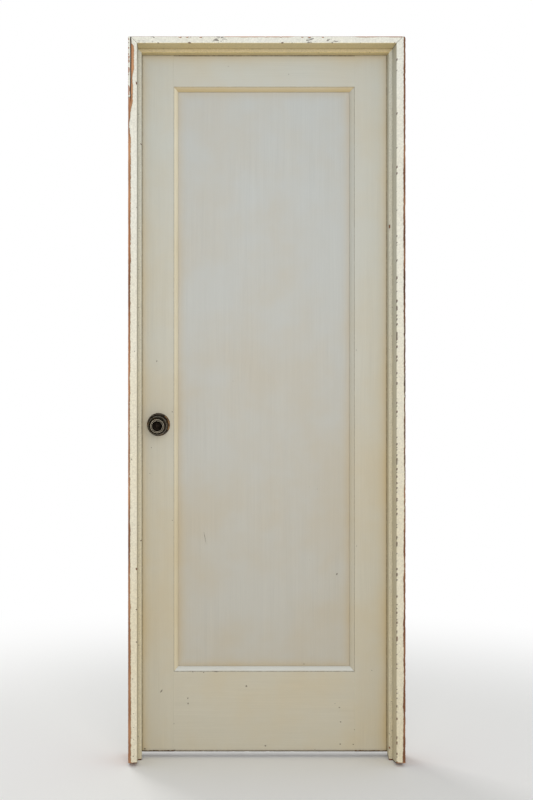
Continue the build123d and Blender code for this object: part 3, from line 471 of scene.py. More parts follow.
# The arc that rounds a corner. most limits it to that share of the shorter side beside it.
def filletArc(before, here, after, radius, steps, most=None):
    sides = [point - here for point in (before, after)]
    first, second = [side.normalized() for side in sides]
    half = first.angle(second) / 2
    if most:
        radius = min(radius, math.tan(half) * most * min(side.length for side in sides))
    centre = here + (first + second).normalized() * (radius / math.sin(half))
    start, stop = [here + side * (radius / math.tan(half)) - centre for side in (first, second)]
    return [centre + start.lerp(stop, step / steps).normalized() * radius for step in range(steps + 1)]


# Boards are swept sections. A section is a closed loop of (across, thick, nearest corner, distance
# from that corner). Edges listed in fine are divided evenly, the others ever more coarsely away
# from their corners.
def roundedLoop(corners, widest=9 * mm, closest=0.9 * mm, growth=1.8, arcSteps=4, fine=()):
    spots = [Vector(corner[:2]) for corner in corners]
    after = spots[1:] + spots[:1]
    rounded = [filletArc(spots[index - 1], spots[index], after[index], corner[2], arcSteps)
               for index, corner in enumerate(corners)]
    loop = []
    for index, arc in enumerate(rounded):
        loop += [(point.x, point.y, index, 0.0) for point in arc]
        following = (index + 1) % len(corners)
        start, stop = arc[-1], rounded[following][0]
        length = (stop - start).length
        if index in fine:
            parts = max(2, round(length / fine[index]))
            places = [length * i / parts for i in range(1, parts)]
        else:
            gaps, gap = [], closest
            while sum(gaps) + gap < length / 2:
                gaps.append(gap)
                gap = min(gap * growth, widest)
            near = [float(p) for p in np.cumsum(gaps)]
            places = near + [length - p for p in reversed(near) if length - p > near[-1] + closest / 2]
        for place in places:
            point = start.lerp(stop, place / length)
            nearest = index if place < length / 2 else following
            loop.append((point.x, point.y, nearest, min(place, length - place)))
    return loop


def unit(values):
    return np.clip(values, 0, 1)


def atLeast(masks, key, values):
    masks[key] = np.maximum(masks[key], values)


# Quads between rings of points that start at first, with caps on the ends unless the rings close
def tube(first, rings, count, closed=False):
    faces = []
    for k in range(rings if closed else rings - 1):
        a, b = first + k * count, first + ((k + 1) % rings) * count
        faces += [(a + j, a + (j + 1) % count, b + (j + 1) % count, b + j) for j in range(count)]
    if not closed:
        last = first + (rings - 1) * count
        faces += [tuple(first + j for j in reversed(range(count))), tuple(last + j for j in range(count))]
    return faces


# Chips along one arris: how deep it is worn at each place along the board
def chipDepth(places, seed, style):
    draw = random.Random(seed)
    depth = np.zeros(len(places))
    low, high = places.min(), places.max()
    for _ in range(int(style["perMetre"] * (high - low))):
        centre = draw.uniform(low, high)
        size = draw.random() ** style.get("bias", 3.5)
        half = (0.1 + 0.9 * size) * style["longest"] / 2
        amount = style["deepest"] * (0.3 + 0.7 * size) * draw.uniform(0.6, 1.0)
        chance = style.get("chance")
        if chance and draw.random() > np.interp(centre, *chance):
            continue
        along = (places - centre) / half
        shape = np.clip(1 - along ** 2, 0, None) * (1 + draw.uniform(-0.4, 0.4) * np.clip(along, -1, 1))
        depth = np.maximum(depth, amount * np.sqrt(shape))
    return depth


def wave(seed, places, scale):
    return np.array([noise.noise((seed * 3.7, p * scale, seed)) for p in places])


def makeMesh(name, points, faces, values, material, sharp=32):
    mesh = bpy.data.meshes.new(name)
    mesh.from_pydata([tuple(p) for p in points], [], faces)
    for label, numbers in values.items():
        layer = mesh.attributes.new(label, "FLOAT", "POINT")
        layer.data.foreach_set("value", np.asarray(numbers, np.float32).ravel())
    work = bmesh.new()
    work.from_mesh(mesh)
    bmesh.ops.remove_doubles(work, verts=work.verts, dist=2e-6)
    bmesh.ops.dissolve_degenerate(work, dist=1e-6, edges=work.edges)
    bmesh.ops.recalc_face_normals(work, faces=work.faces)
    work.to_mesh(mesh)
    work.free()
    mesh.polygons.foreach_set("use_smooth", [True] * len(mesh.polygons))
    mesh.set_sharp_from_angle(angle=math.radians(sharp))
    mesh.materials.append(material)
    piece = bpy.data.objects.new(name, mesh)
    bpy.context.scene.collection.objects.link(piece)
    return piece


def stationsFor(low, high, step, extra):
    places = set(np.linspace(low, high, max(2, round((high - low) / step)) + 1))
    for near in (0.8, 1.6, 2.8, 4.4):
        places |= {low + near * mm, high - near * mm}
    places |= set(extra)
    kept = []
    for place in sorted(places):
        if not kept or place - kept[-1] > 0.3 * mm or place in extra:
            kept.append(place)
    return np.array(kept)


# place is (origin, across, thick, along): where a section's zero is, and its three directions.
# startAt and endAt give the board's two ends for each point of the section. detail may move the
# points and change the masks.
def sweepBoard(name, loop, place, startAt, endAt, material, step, arrises, detail, seed, extra=(),
               clampAcross=None, rim=None, ripple=0.12 * mm):
    across, thick, corner, fromCorner = (np.array(column) for column in zip(*loop))
    starts = np.array([startAt(u, v) for u, v in zip(across, thick)])
    ends = np.array([endAt(u, v) for u, v in zip(across, thick)])
    low, high = starts.min(), ends.max()
    stations = stationsFor(low, high, step, extra)
    share = (stations - low) / (high - low)
    w = starts[None, :] + share[:, None] * (ends - starts)[None, :]
    if extra:
        w = np.clip(np.repeat(stations[:, None], len(loop), axis=1), starts[None, :], ends[None, :])
    u = np.repeat(across[None, :], len(stations), axis=0)
    v = np.repeat(thick[None, :], len(stations), axis=0)
    clamped = np.zeros(u.shape, bool)
    if clampAcross is not None:
        limit = clampAcross(w)
        clamped = u > limit + 1e-9
        u = np.minimum(u, limit)

    masks = {key: np.zeros(u.shape) for key in ("wear", "grime", "pale", "zone", "coat", "split")}
    middle = np.array([(across.min() + across.max()) / 2, (thick.min() + thick.max()) / 2])
    for index, style in arrises.items():
        mine = (corner == index) & (fromCorner == 0.0)
        towards = np.sign(middle - np.array([across[mine].mean(), thick[mine].mean()]))
        towards = towards / np.linalg.norm(towards)
        depth = chipDepth(stations, seed * 31 + index, style)
        fade = unit(1 - fromCorner / style["reach"]) ** 1.5 * (corner == index)
        amount = depth[:, None] * fade[None, :]
        u = u + amount * towards[0]
        v = v + amount * towards[1]
        atLeast(masks, "wear", unit(amount / (0.5 * mm)))
        atLeast(masks, "pale", style.get("pale", 0.15) * (amount > 0))
    u, v = detail(u, v, w, w - starts[None, :], masks)

    origin, uDirection, vDirection, wDirection = (np.array(d, float) for d in place)
    points = (origin + u[..., None] * uDirection + v[..., None] * vDirection
              + w[..., None] * wDirection).reshape(-1, 3)
    sway = np.array([noise.noise((p[0] * 9 + seed, p[1] * 9, p[2] * 5)) for p in points]) * ripple
    points = points + sway[:, None] * vDirection[None, :]
    masks["rim"] = np.zeros(len(points)) if rim is None else rim(points)

    count = len(loop)
    faces = []
    flags = clamped.ravel()
    for k in range(len(stations) - 1):
        for j in range(count):
            quad = (k * count + j, k * count + (j + 1) % count,
                    (k + 1) * count + (j + 1) % count, (k + 1) * count + j)
            marks = [bool(flags[i]) for i in quad]
            odd = sum(marks)
            if odd in (1, 3):  # split along the mitre
                lone = marks.index(odd == 1)
                turned = quad[lone:] + quad[:lone]
                faces.append((turned[0], turned[1], turned[3]))
                faces.append((turned[1], turned[2], turned[3]))
            else:
                faces.append(quad)
    last = (len(stations) - 1) * count
    faces.append(tuple(range(count)))
    faces.append(tuple(last + j for j in reversed(range(count))))
    return makeMesh(name, points, faces, masks, material)


# A block is its centre and three half edges
def block(low, high, lean=0.0):
    low, high = Vector(low), Vector(high)
    half = (high - low) / 2
    turn = (Vector((math.cos(lean), math.sin(lean), 0)), Vector((-math.sin(lean), math.cos(lean), 0)))
    return (low + high) / 2, turn[0] * half.x, turn[1] * half.y, Vector((0, 0, half.z))


# Cuts blocks and round bores (start, end, radius) out of a piece
def cutFrom(piece, blocks=(), bores=(), segments=48):
    points, faces = [], []
    sides = [(0, 1, 3, 2), (4, 6, 7, 5), (0, 4, 5, 1), (2, 3, 7, 6), (0, 2, 6, 4), (1, 5, 7, 3)]
    for centre, a, b, c in blocks:
        faces += [tuple(i + len(points) for i in side) for side in sides]
        points += [centre + a * i + b * j + c * k for i in (-1, 1) for j in (-1, 1) for k in (-1, 1)]
    for start, end, radius in bores:
        start, end = Vector(start), Vector(end)
        turn = (end - start).to_track_quat("Z", "Y").to_matrix()
        ring = [turn @ Vector((radius * math.cos(a), radius * math.sin(a), 0))
                for a in np.linspace(0, 2 * math.pi, segments + 1)[:-1]]
        faces += tube(len(points), 2, segments)
        points += [start + r for r in ring] + [end + r for r in ring]
    cutter = makeMesh("cutter", points, faces, {}, piece.data.materials[0])
    change = piece.modifiers.new("cut", "BOOLEAN")
    change.operation, change.object, change.solver = "DIFFERENCE", cutter, "EXACT"
    bpy.context.view_layer.objects.active = piece
    bpy.ops.object.modifier_apply(modifier=change.name)
    bpy.data.objects.remove(cutter)


# The boxes of a node's separate solids, such as one for each screw
def solidBoxes(node):
    work = bmesh.new()
    work.from_mesh(frame["nodes"][node].data)
    bmesh.ops.remove_doubles(work, verts=work.verts, dist=1e-6)
    seen, boxes = set(), []
    for vert in work.verts:
        if vert in seen:
            continue
        seen.add(vert)
        island, queue = [], [vert]
        while queue:
            here = queue.pop()
            island.append(frame["nodes"][node].matrix_world @ here.co)
            for edge in here.link_edges:
                other = edge.other_vert(here)
                if other not in seen:
                    seen.add(other)
                    queue.append(other)
        low = Vector([min(p[i] for p in island) for i in range(3)])
        high = Vector([max(p[i] for p in island) for i in range(3)])
        boxes.append((low, high))
    work.free()
    return sorted(boxes, key=lambda b: (round(b[0].z, 4), round(b[0].y, 4), round(b[0].x, 4)))


def dress(piece, node, body):
    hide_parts(node)
    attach(piece, body)
    return piece


# Jambs

jambs = {
    "arris": 1.6 * mm, "rearArris": 0.4 * mm, "footRise": 10 * mm, "stripSink": 0.45 * mm,
    "splitFromEdge": 7.2 * mm, "splitLength": 0.19, "splitDepth": 6 * mm, "splitHalfWidth": 1.3 * mm,
    "edgeReach": 10 * mm, "frontReach": 12 * mm, "sideTone": 0.6, "mostWorn": 0.74,
    # how wide the bare strip beside the outer edge is in millimetres, by height or by place along the
    # head, and how pale its wood is
    "leftStrip": ([0.0, 0.15, 0.5, 0.95, 1.4, 1.74, 1.77, 1.81, 1.84, 1.91, 1.93, 1.99, 2.0, 2.02],
                  [8.0, 7.6, 5.6, 4.6, 6.4, 7.2, 2.0, 7.5, 12.5, 12.5, 16.5, 15.5, 9.0, 7.5]),
    "rightStrip": ([0.0, 0.12, 0.25, 0.5, 0.95, 1.4, 2.02], [8.0, 6.6, 5.4, 5.4, 3.6, 5.4, 5.0]),
    "headStrip": ([-0.4, -0.13, -0.11, 0.06, 0.09, 0.22, 0.26, 0.4],
                  [0.2, 0.4, 2.2, 2.6, 0.3, 0.2, 2.2, 2.6]),
    "leftPale": ([0.0, 0.5, 1.0, 1.8, 1.82, 2.0], [0.35, 0.4, 0.6, 0.7, 0.6, 0.8]),
    "rightPale": ([0.0, 0.5, 1.5, 2.0], [0.0, 0.05, 0.12, 0.0]),
    "coatFrom": {"left": 0.2 * mm, "right": 1.2 * mm}, "sideArris": {"left": 2.8 * mm, "right": 1.6 * mm},
    "topRound": {"left": 2.5 * mm, "right": 6.0 * mm}, "mitreOpen": {"left": 0.45 * mm, "right": 0.8 * mm},
}

sparse = {"perMetre": 12, "deepest": 0.9 * mm, "longest": 8 * mm, "reach": 2.2 * mm, "pale": 0.1}
rough = {"perMetre": 120, "deepest": 1.6 * mm, "longest": 16 * mm, "reach": 4 * mm, "pale": 0.6}
worn = {"perMetre": 46, "deepest": 1.2 * mm, "longest": 12 * mm, "reach": 4 * mm, "pale": 0.5}
dashed = {"perMetre": 170, "deepest": 1.0 * mm, "longest": 8 * mm, "reach": 1.9 * mm, "pale": 0.0,
          "bias": 2.8, "chance": ([0.0, 1.3, 1.55, 2.02], [1.0, 0.9, 0.25, 0.1])}


def bareStrip(side, outer, seed):
    values = jambs
    widths, pales = values[side + "Strip"], values[side + "Pale"]

    def detail(u, v, w, rise, masks):
        sways = ((0, 24, 1.6 * mm), (1, 95, 1.1 * mm), (6, 310, 1.2 * mm))
        wander = sum(wave(seed + more, w[:, 0], scale) * size for more, scale, size in sways)[:, None]
        # the reveal faces take the darker inner colour: an older coat and painted shade of the recess
        masks["coat"] = unit((v - values["coatFrom"][side]) / (0.8 * mm)) * (u < 4 * mm)
        width = np.interp(w, *widths) * mm
        onFront = v < 1.0 * mm
        onEdges = (v < values["edgeReach"]) | (v > v.max() - values["edgeReach"])
        bare = np.where(onEdges, unit((u - (outer - width) - wander) / (1.7 * mm) + 0.5), 0)
        bare = np.maximum(bare, (u > outer - 0.7 * mm) * 1.0)
        if side == "left":  # a split runs down from the top, and the splinter outside it kept its paint
            line = outer - values["splitFromEdge"] + wave(seed + 2, w[:, 0], 30)[:, None] * 0.9 * mm
            fade = unit((w - (headHigh.z - values["splitLength"])) / 0.03)
            split = unit(1.4 - np.abs(u - line) / values["splitHalfWidth"]) * fade * onFront
            v = v + values["splitDepth"] * split
            atLeast(masks, "split", split * 0.9)
            bare = bare * (1 - 0.75 * unit((u - line) / (1 * mm)) * fade * onFront)
        v = v + values["stripSink"] * bare * onFront
        ragged = wave(seed + 4, u[0] * 1.0 + v[0] * 0.7, 400)[None, :]
        foot = unit(1.2 - rise / (2.8 * mm) + ragged * 0.8) * (v < values["frontReach"])
        lost = np.maximum.reduce([masks["wear"], bare, (rise < 1 * mm) * 1.0, foot])
        masks["wear"] = np.clip(lost, 0, values["mostWorn"])
        tone = np.interp(w, *pales) + wave(seed + 5, w[:, 0], 14)[:, None] * 0.35
        tone = np.where(v < values["frontReach"], tone, values["sideTone"])
        masks["pale"] = unit(np.where(bare > 0.2, tone, masks["pale"]))
        atLeast(masks, "pale", 0.3 * (foot > 0.2))
        # dirt gathers along the paint's edge
        seam = np.exp(-((u - (outer - width) - wander) / (1.0 * mm)) ** 2)
        masks["grime"] = unit(masks["grime"] + 0.35 * seam * onFront)
        return u, v
    return detail


def sideJamb(name, low, high, side, seed, styles):
    values = jambs
    inwards = 1 if side == "left" else -1
    thickness, depth = high.x - low.x, high.y - low.y
    face = high.x if inwards > 0 else low.x
    r, top = values["arris"], values["topRound"][side]
    corners = [(0, 0, values["sideArris"][side]), (thickness, 0, r), (thickness, depth, values["rearArris"]),
               (0, depth, r)]
    slopeEnd = stopLow.y - frontY

    def foot(u, v):
        return low.z + max(0.0, values["footRise"] * (1 - v / slopeEnd))

    def head(u, v):
        past = max(0.0, u - (thickness - top))
        return min(high.z - top + math.sqrt(max(0.0, top * top - past * past)), headLow.z + u)

    place = ((face, low.y, 0), (-inwards, 0, 0), (0, 1, 0), (0, 0, 1))
    loop = roundedLoop(corners, fine={0: 0.85 * mm, 2: 1.7 * mm})
    return sweepBoard(name, loop, place, foot, head, materials["frameUpright"], step=3.5 * mm, arrises=styles,
                      detail=bareStrip(side, thickness, seed), seed=seed)


cornerChips = {0: sparse, 1: rough, 2: worn, 3: sparse}
strikePiece = sideJamb("strikeJamb", strikeLow, strikeHigh, "left", 3, cornerChips)
hingePiece = sideJamb("hingeJamb", hingeLow, hingeHigh, "right", 5, {**cornerChips, 0: dashed})


def headJamb():
    values = jambs
    thickness, depth = headHigh.z - headLow.z, headHigh.y - headLow.y
    r = values["arris"]
    corners = [(0, 0, r), (thickness, 0, r), (thickness, depth, values["rearArris"]), (0, depth, r)]
    place = ((0, headLow.y, headLow.z), (0, 0, 1), (0, 1, 0), (1, 0, 0))
    halfClear = headHigh.x - thickness
    openings = values["mitreOpen"]

    def detail(u, v, w, rise, masks):
        width = np.interp(w, *values["headStrip"]) * mm + wave(8, w[:, 0], 60)[:, None] * 0.8 * mm
        onFront = v < values["edgeReach"]
        bare = unit((u - (thickness - width)) / (0.9 * mm) + 0.5) * onFront
        bare = np.maximum(bare, (u > thickness - 0.6 * mm) * 1.0)
        masks["wear"] = unit(np.maximum(masks["wear"], bare))
        masks["pale"] = np.where(bare > 0.2, 0.75, masks["pale"])
        for centre, reach in ((-0.34, 0.04), (-0.13, 0.04), (0.12, 0.03), (0.18, 0.03), (0.3, 0.02)):
            zone = np.exp(-((w - centre) / reach) ** 2)
            atLeast(masks, "zone", 0.56 * zone * (v < 1 * mm))
        gap = halfClear + u - np.abs(w)
        atLeast(masks, "grime", unit(1.3 - gap / (1.4 * mm)))
        # the soffit takes the darker inner colour: an older coat and painted shade under the head
        masks["coat"] = unit((v - 1.2 * mm) / (0.8 * mm)) * (u < 4 * mm)
        return u, v

    styles = {0: {**sparse, "perMetre": 26}, 1: {**worn, "perMetre": 30}, 2: worn, 3: sparse}
    return sweepBoard("headJamb", roundedLoop(corners, fine={0: 0.85 * mm}), place,
                      lambda u, v: -halfClear - u + openings["left"],
                      lambda u, v: halfClear + u - openings["right"],
                      materials["frameAcross"], step=3 * mm, arrises=styles, detail=detail, seed=7)


headPiece = headJamb()
print("jambs swept")


# Stops

stops = {"arris": 0.9 * mm, "nose": 3.0 * mm, "footRise": 12 * mm, "grimeDepth": 12 * mm}
stopThickness, stopWidth = stopHigh.x - stopLow.x, stopHigh.y - stopLow.y


def stopGrimeAndShade(foot):
    def detail(u, v, w, rise, masks):
        # the corner where the stop meets the jamb is darkened: painted shade
        crease = unit(1 - np.hypot(u, v) / (1.6 * mm)) * (0.35 if foot else 0.7)
        # towards the door the stop's inner side is darkened: painted shade of the narrow gap
        inner = unit((v - stopWidth) / stops["grimeDepth"] + 1) ** 1.5 * (0.6 if foot else 1)
        # the head stop is darkened all over: painted shade under the head
        if not foot:
            masks["grime"] = masks["grime"] + 0.12
        masks["grime"] = np.maximum.reduce([masks["grime"], crease, inner * (u > stopThickness * 0.6)])
        # the whole stop takes the darker inner colour: an older coat and painted shade of the recess
        masks["coat"] = np.ones(u.shape)
        if foot:
            atLeast(masks, "wear", unit(1.4 - rise / (4 * mm)))
        return u, v
    return detail


def stopBoard(name, place, startAt, endAt, wood, seed, foot=True, rim=None):
    r = stops["arris"]
    corners = [(0, 0, r), (stopThickness, 0, stops["nose"]), (stopThickness, stopWidth, r), (0, stopWidth, r)]
    return sweepBoard(name, roundedLoop(corners, widest=5 * mm), place, startAt, endAt, materials[wood],
                      step=5 * mm, arrises={1: {**sparse, "perMetre": 5}}, detail=stopGrimeAndShade(foot), seed=seed,
                      rim=rim)


def sideStop(name, low, high, inwards, seed):
    face = low.x if inwards > 0 else high.x
    place = ((face, low.y, 0), (inwards, 0, 0), (0, 1, 0), (0, 0, 1))
    return stopBoard(name, place, lambda u, v: low.z + stops["footRise"] * v / stopWidth,
                     lambda u, v: high.z - u, "frameUpright", seed)


def headStop():
    low, high = headStopLow, headStopHigh
    place = ((0, low.y, high.z), (0, 0, -1), (0, 1, 0), (1, 0, 0))
    # the head stop gets the full yellow tint: painted shade and warm bounce light under the head
    return stopBoard("headStop", place, lambda u, v: low.x + u, lambda u, v: high.x - u, "frameAcross", 13,
                     foot=False, rim=lambda points: np.full(len(points), 1.2))


dress(sideStop("strikeStop", stopLow, stopHigh, 1, 9), "strike_stop", "frame")
dress(sideStop("hingeStop", farStopLow, farStopHigh, -1, 11), "hinge_stop", "frame")
dress(headStop(), "head_stop", "frame")
print("stops swept")


# What is cut into the jambs: hinge mortises, the strike's mortise and pocket, and the nails' heads

hardware = {
    "leafThickness": 2.3 * mm, "strikeThickness": 1.8 * mm,
    "pocketDepth": 17 * mm, "pocketHalfHeight": 10.7 * mm, "lipRelief": 6.6 * mm, "lipHalfHeight": 13 * mm,
    "faceplateThickness": 2.4 * mm, "faceplateWidth": 25.4 * mm, "crossBore": 27 * mm, "edgeBore": 12.7 * mm,
    "nailHead": 3.5 * mm, "nailHeadDepth": 1.3 * mm, "past": 5 * mm,
}


def leafMortises(side, face, outwards, back):
    blocks = []
    for name in ("bottom", "middle", "top"):
        low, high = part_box(name + "_hinge_" + side + "_leaf")
        x0, x1 = sorted((face + outwards * hardware["leafThickness"], face - outwards * 2 * mm))
        blocks.append(block((x0, low.y, low.z), (x1, back + hardware["past"], high.z)))
    return blocks


def nailHeads(outer, outwards):
    bores = []
    for low, high in solidBoxes("corner_nails"):
        if (low.x + high.x) * outwards > 0:
            y, z = (low.y + high.y) / 2, (low.z + high.z) / 2
            inside = outer - outwards * hardware["nailHeadDepth"]
            bores.append(((outer + outwards * 2 * mm, y, z), (inside, y, z), hardware["nailHead"]))
    return bores


plateLow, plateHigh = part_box("strike_plate")
boltLow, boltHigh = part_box("latch_bolt")
boltHalf = (boltHigh.y - boltLow.y) / 2 + 2.2 * mm
strikeFace = strikeHigh.x
for cut in (
    block((strikeFace - hardware["strikeThickness"], plateLow.y, plateLow.z),
          (strikeFace + 3 * mm, rearY - 3 * mm, plateHigh.z)),
    block((strikeFace - hardware["pocketDepth"], middleY - boltHalf, knobZ - hardware["pocketHalfHeight"]),
          (strikeFace + 3 * mm, middleY + boltHalf, knobZ + hardware["pocketHalfHeight"])),
    block((plateLow.x - 0.4 * mm, rearY - hardware["lipRelief"], knobZ - hardware["lipHalfHeight"]),
          (strikeFace + 4 * mm, rearY + 3 * mm, knobZ + hardware["lipHalfHeight"])),
):
    cutFrom(strikePiece, blocks=[cut])
cutFrom(strikePiece, bores=nailHeads(strikeLow.x, -1))
cutFrom(hingePiece, blocks=leafMortises("jamb", hingeLow.x, 1, rearY), bores=nailHeads(hingeHigh.x, 1))
dress(strikePiece, "strike_jamb", "frame")
dress(hingePiece, "hinge_jamb", "frame")
dress(headPiece, "head_jamb", "frame")
print("jambs cut")


# Door leaf

moulding = {"width": 13 * mm, "step": 1.4 * mm, "lip": 2.2 * mm, "bulge": 1.1 * mm, "groove": 11 * mm}
leaf = {"arris": 1.2 * mm, "bevel": 1.8 * mm, "panelHalf": 4.1 * mm, "rimWidth": 42 * mm,
        "dustLine": 3.2 * mm, "crease": 1.5 * mm,
        "footBare": 2.2 * mm, "footDark": 6 * mm, "footDirt": 9 * mm}
halfDoor = (doorBack - doorFront) / 2
doorChips = {"perMetre": 20, "deepest": 0.9 * mm, "longest": 8 * mm, "reach": 2.4 * mm, "pale": 0.1}


# 1 at the leaf's outer edges, where the stops shelter it, falling to 0; the yellow it brings is painted
# shadow of the stops and warm bounce light as well as yellowing
def stopShadeRim(points):
    sides = np.minimum(points[:, 0] - doorLeft, doorRight - points[:, 0])
    nearest = np.minimum(sides, (doorTop - points[:, 2]) * 0.9)
    return (1 - unit(nearest / leaf["rimWidth"])) ** 2


def mouldedLoop(flat, lean=0.0):
    m, half, groove = moulding, halfDoor, leaf["panelHalf"]
    end = flat + m["width"]
    slope = []
    for share in (0.0, 0.15, 0.3, 0.45, 0.6, 0.75, 0.9, 1.0):
        swell = m["bulge"] * 4 * share * (1 - share)
        slope.append((flat + m["width"] * share + swell * 0.5,
                      half - m["step"] + (groove + m["lip"] - half + m["step"]) * share + swell))
    side = [(flat, half)] + slope + [(end, groove), (end - m["groove"], groove)]
    outline = [(0.0, half, leaf["arris"])] + [(u, v, 0.22 * mm) for u, v in side]
    outline += [(u, -v, r) for u, v, r in reversed(outline[1:])] + [(lean, -half, leaf["arris"])]
    fine = {0: 6 * mm, len(outline) - 2: 2.6 * mm}
    return roundedLoop(outline, widest=8 * mm, closest=1.2 * mm, arcSteps=2, fine=fine), len(outline) - 1


# Darkening in the moulding's creases, as painted shade with some dirt, a painted shadow line along the stops,
# and bare wood at the foot with a dark line at its edge, painted shade with dirt. covered is how much of the
# leaf's edge the stop hides; fromFoot gives how far a point is above the leaf's underside.
def doorGrimeAndShade(flat, covered, fromFoot, between=None, coated=False):
    m, groove = moulding, leaf["panelHalf"]
    # the bottom rail's outer crease is darkened more: painted shade with dirt
    quirk = 0.95 if coated and not between else 0.55

    def detail(u, v, w, rise, masks):
        grime = masks["grime"]
        # the moulding's creases are darkened: painted shade with some dirt
        creases = ((flat, halfDoor - m["step"], quirk), (flat + m["width"], groove, 1.0))
        for place, height, strength in creases:
            near = np.hypot(u - place, np.abs(v) - height)
            crease = strength * unit(1 - near / leaf["crease"])
            if between:
                crease = crease * (w > between[0]) * (w < between[1])
            grime = np.maximum(grime, crease)
        # the lock stile's moulding takes a lighter cream as painted light on the face turned to the light,
        # and the bottom rail's upward moulding a paler grey as painted light from above
        if coated:
            masks["coat"] = (u > flat + 0.3 * mm) * (v < 0) * 1.0
        if covered is not None:
            # a dark band along the edge that the stop covers: painted shadow of the stop
            onFront = v < -halfDoor + 0.5 * mm
            line = unit((covered + leaf["dustLine"] - u) / leaf["dustLine"])
            grime = np.maximum(grime, line * onFront * 0.9)
        masks["grime"] = grime
        if fromFoot is not None:
            height = fromFoot(u, w)
            ragged = wave(31, u[0] * 3 + 0.01, 200)[None, :] + wave(33, w[:, 0], 200)[:, None]
            bare = unit(1.9 - height / leaf["footBare"] + ragged * 0.9)
            # a dark line along the underside edge, and darkening a little above it: painted shade with dirt
            atLeast(masks, "split", 0.9 * unit(1.6 - height / leaf["footBare"]))
            atLeast(masks, "grime", 0.5 * unit(1 - height / leaf["footDirt"]))
            atLeast(masks, "wear", bare * 0.9)
            masks["pale"] = np.where(height < leaf["footDark"], 0.0, masks["pale"])
        return u, v
    return detail


def stilePiece(name, low, high, outwards, seed, covered, lean=0.0):
    flat = high.x - low.x - moulding["width"]
    lineLow, lineHigh = footHigh.z - moulding["width"], topLow.z + moulding["width"]
    loop, last = mouldedLoop(flat, lean)
    steps = sorted({round(p[0] - flat, 7) for p in loop if p[0] > flat})
    extra = [lineLow + s for s in [0.0] + steps] + [lineHigh - s for s in [0.0] + steps]

    def limit(w):
        return flat + np.clip(np.minimum(w - lineLow, lineHigh - w), 0, moulding["width"])

    face = low.x if outwards < 0 else high.x
    place = ((face, middleY, 0), (-outwards, 0, 0), (0, 1, 0), (0, 0, 1))
    grime = doorGrimeAndShade(flat, covered, lambda u, w: w - low.z, (lineLow, lineHigh), outwards < 0)
    return sweepBoard(name, loop, place, lambda u, v: low.z, lambda u, v: high.z, materials["doorUpright"],
                      step=5 * mm, extra=extra, clampAcross=limit, rim=stopShadeRim, detail=grime,
                      arrises={0: doorChips, last: doorChips}, seed=seed)


def railPiece(name, low, high, upwards, seed, covered):
    # the frame's box takes in the hidden tenons, so the shoulders come from the stiles
    left, right = lockHigh.x - moulding["width"], hangLow.x + moulding["width"]
    flat = high.z - low.z - moulding["width"]
    loop, last = mouldedLoop(flat)
    face = high.z if upwards > 0 else low.z
    place = ((0, middleY, face), (0, 0, -upwards), (0, 1, 0), (1, 0, 0))
    fromFoot = (lambda u, w: u) if upwards < 0 else None
    style = {**doorChips, "perMetre": 60, "deepest": 1.4 * mm} if upwards < 0 else doorChips
    return sweepBoard(name, loop, place, lambda u, v: left + max(0.0, u - flat),
                      lambda u, v: right - max(0.0, u - flat), materials["doorAcross"], step=5 * mm,
                      rim=stopShadeRim, detail=doorGrimeAndShade(flat, covered, fromFoot, coated=upwards < 0),
                      arrises={0: style, last: style}, seed=seed)


lockPiece = stilePiece("lockStile", lockLow, lockHigh, -1, 15, stopHigh.x - doorLeft, leaf["bevel"])
hangPiece = stilePiece("hingeStile", hangLow, hangHigh, 1, 17, doorRight - farStopLow.x)
print("stiles swept")

plateLean = math.atan2(leaf["bevel"], doorBack - doorFront)
faceLow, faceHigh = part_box("latch_faceplate")
edgeX = doorLeft + leaf["bevel"] / 2
plateHalf, past = hardware["faceplateWidth"] / 2, hardware["past"]
facePlate = block((edgeX - 4 * mm, middleY - plateHalf, faceLow.z),
                  (edgeX + hardware["faceplateThickness"], middleY + plateHalf, faceHigh.z), plateLean)
cutFrom(lockPiece, blocks=[facePlate])
for start, end, radius in (
    ((knobX, doorFront - past, knobZ), (knobX, doorBack + past, knobZ), hardware["crossBore"]),
    ((doorLeft - past, middleY, knobZ), (knobX, middleY, knobZ), hardware["edgeBore"]),
):
    cutFrom(lockPiece, bores=[(start, end, radius)])
cutFrom(hangPiece, blocks=leafMortises("door", hangHigh.x, -1, doorBack))
dress(lockPiece, "lock_stile", "door")
dress(hangPiece, "hinge_stile", "door")
dress(railPiece("topRail", topLow, topHigh, 1, 19, doorTop - headStopLow.z), "top_rail", "door")
dress(railPiece("bottomRail", footLow, footHigh, -1, 21, None), "bottom_rail", "door")
print("door frame cut, rails swept")


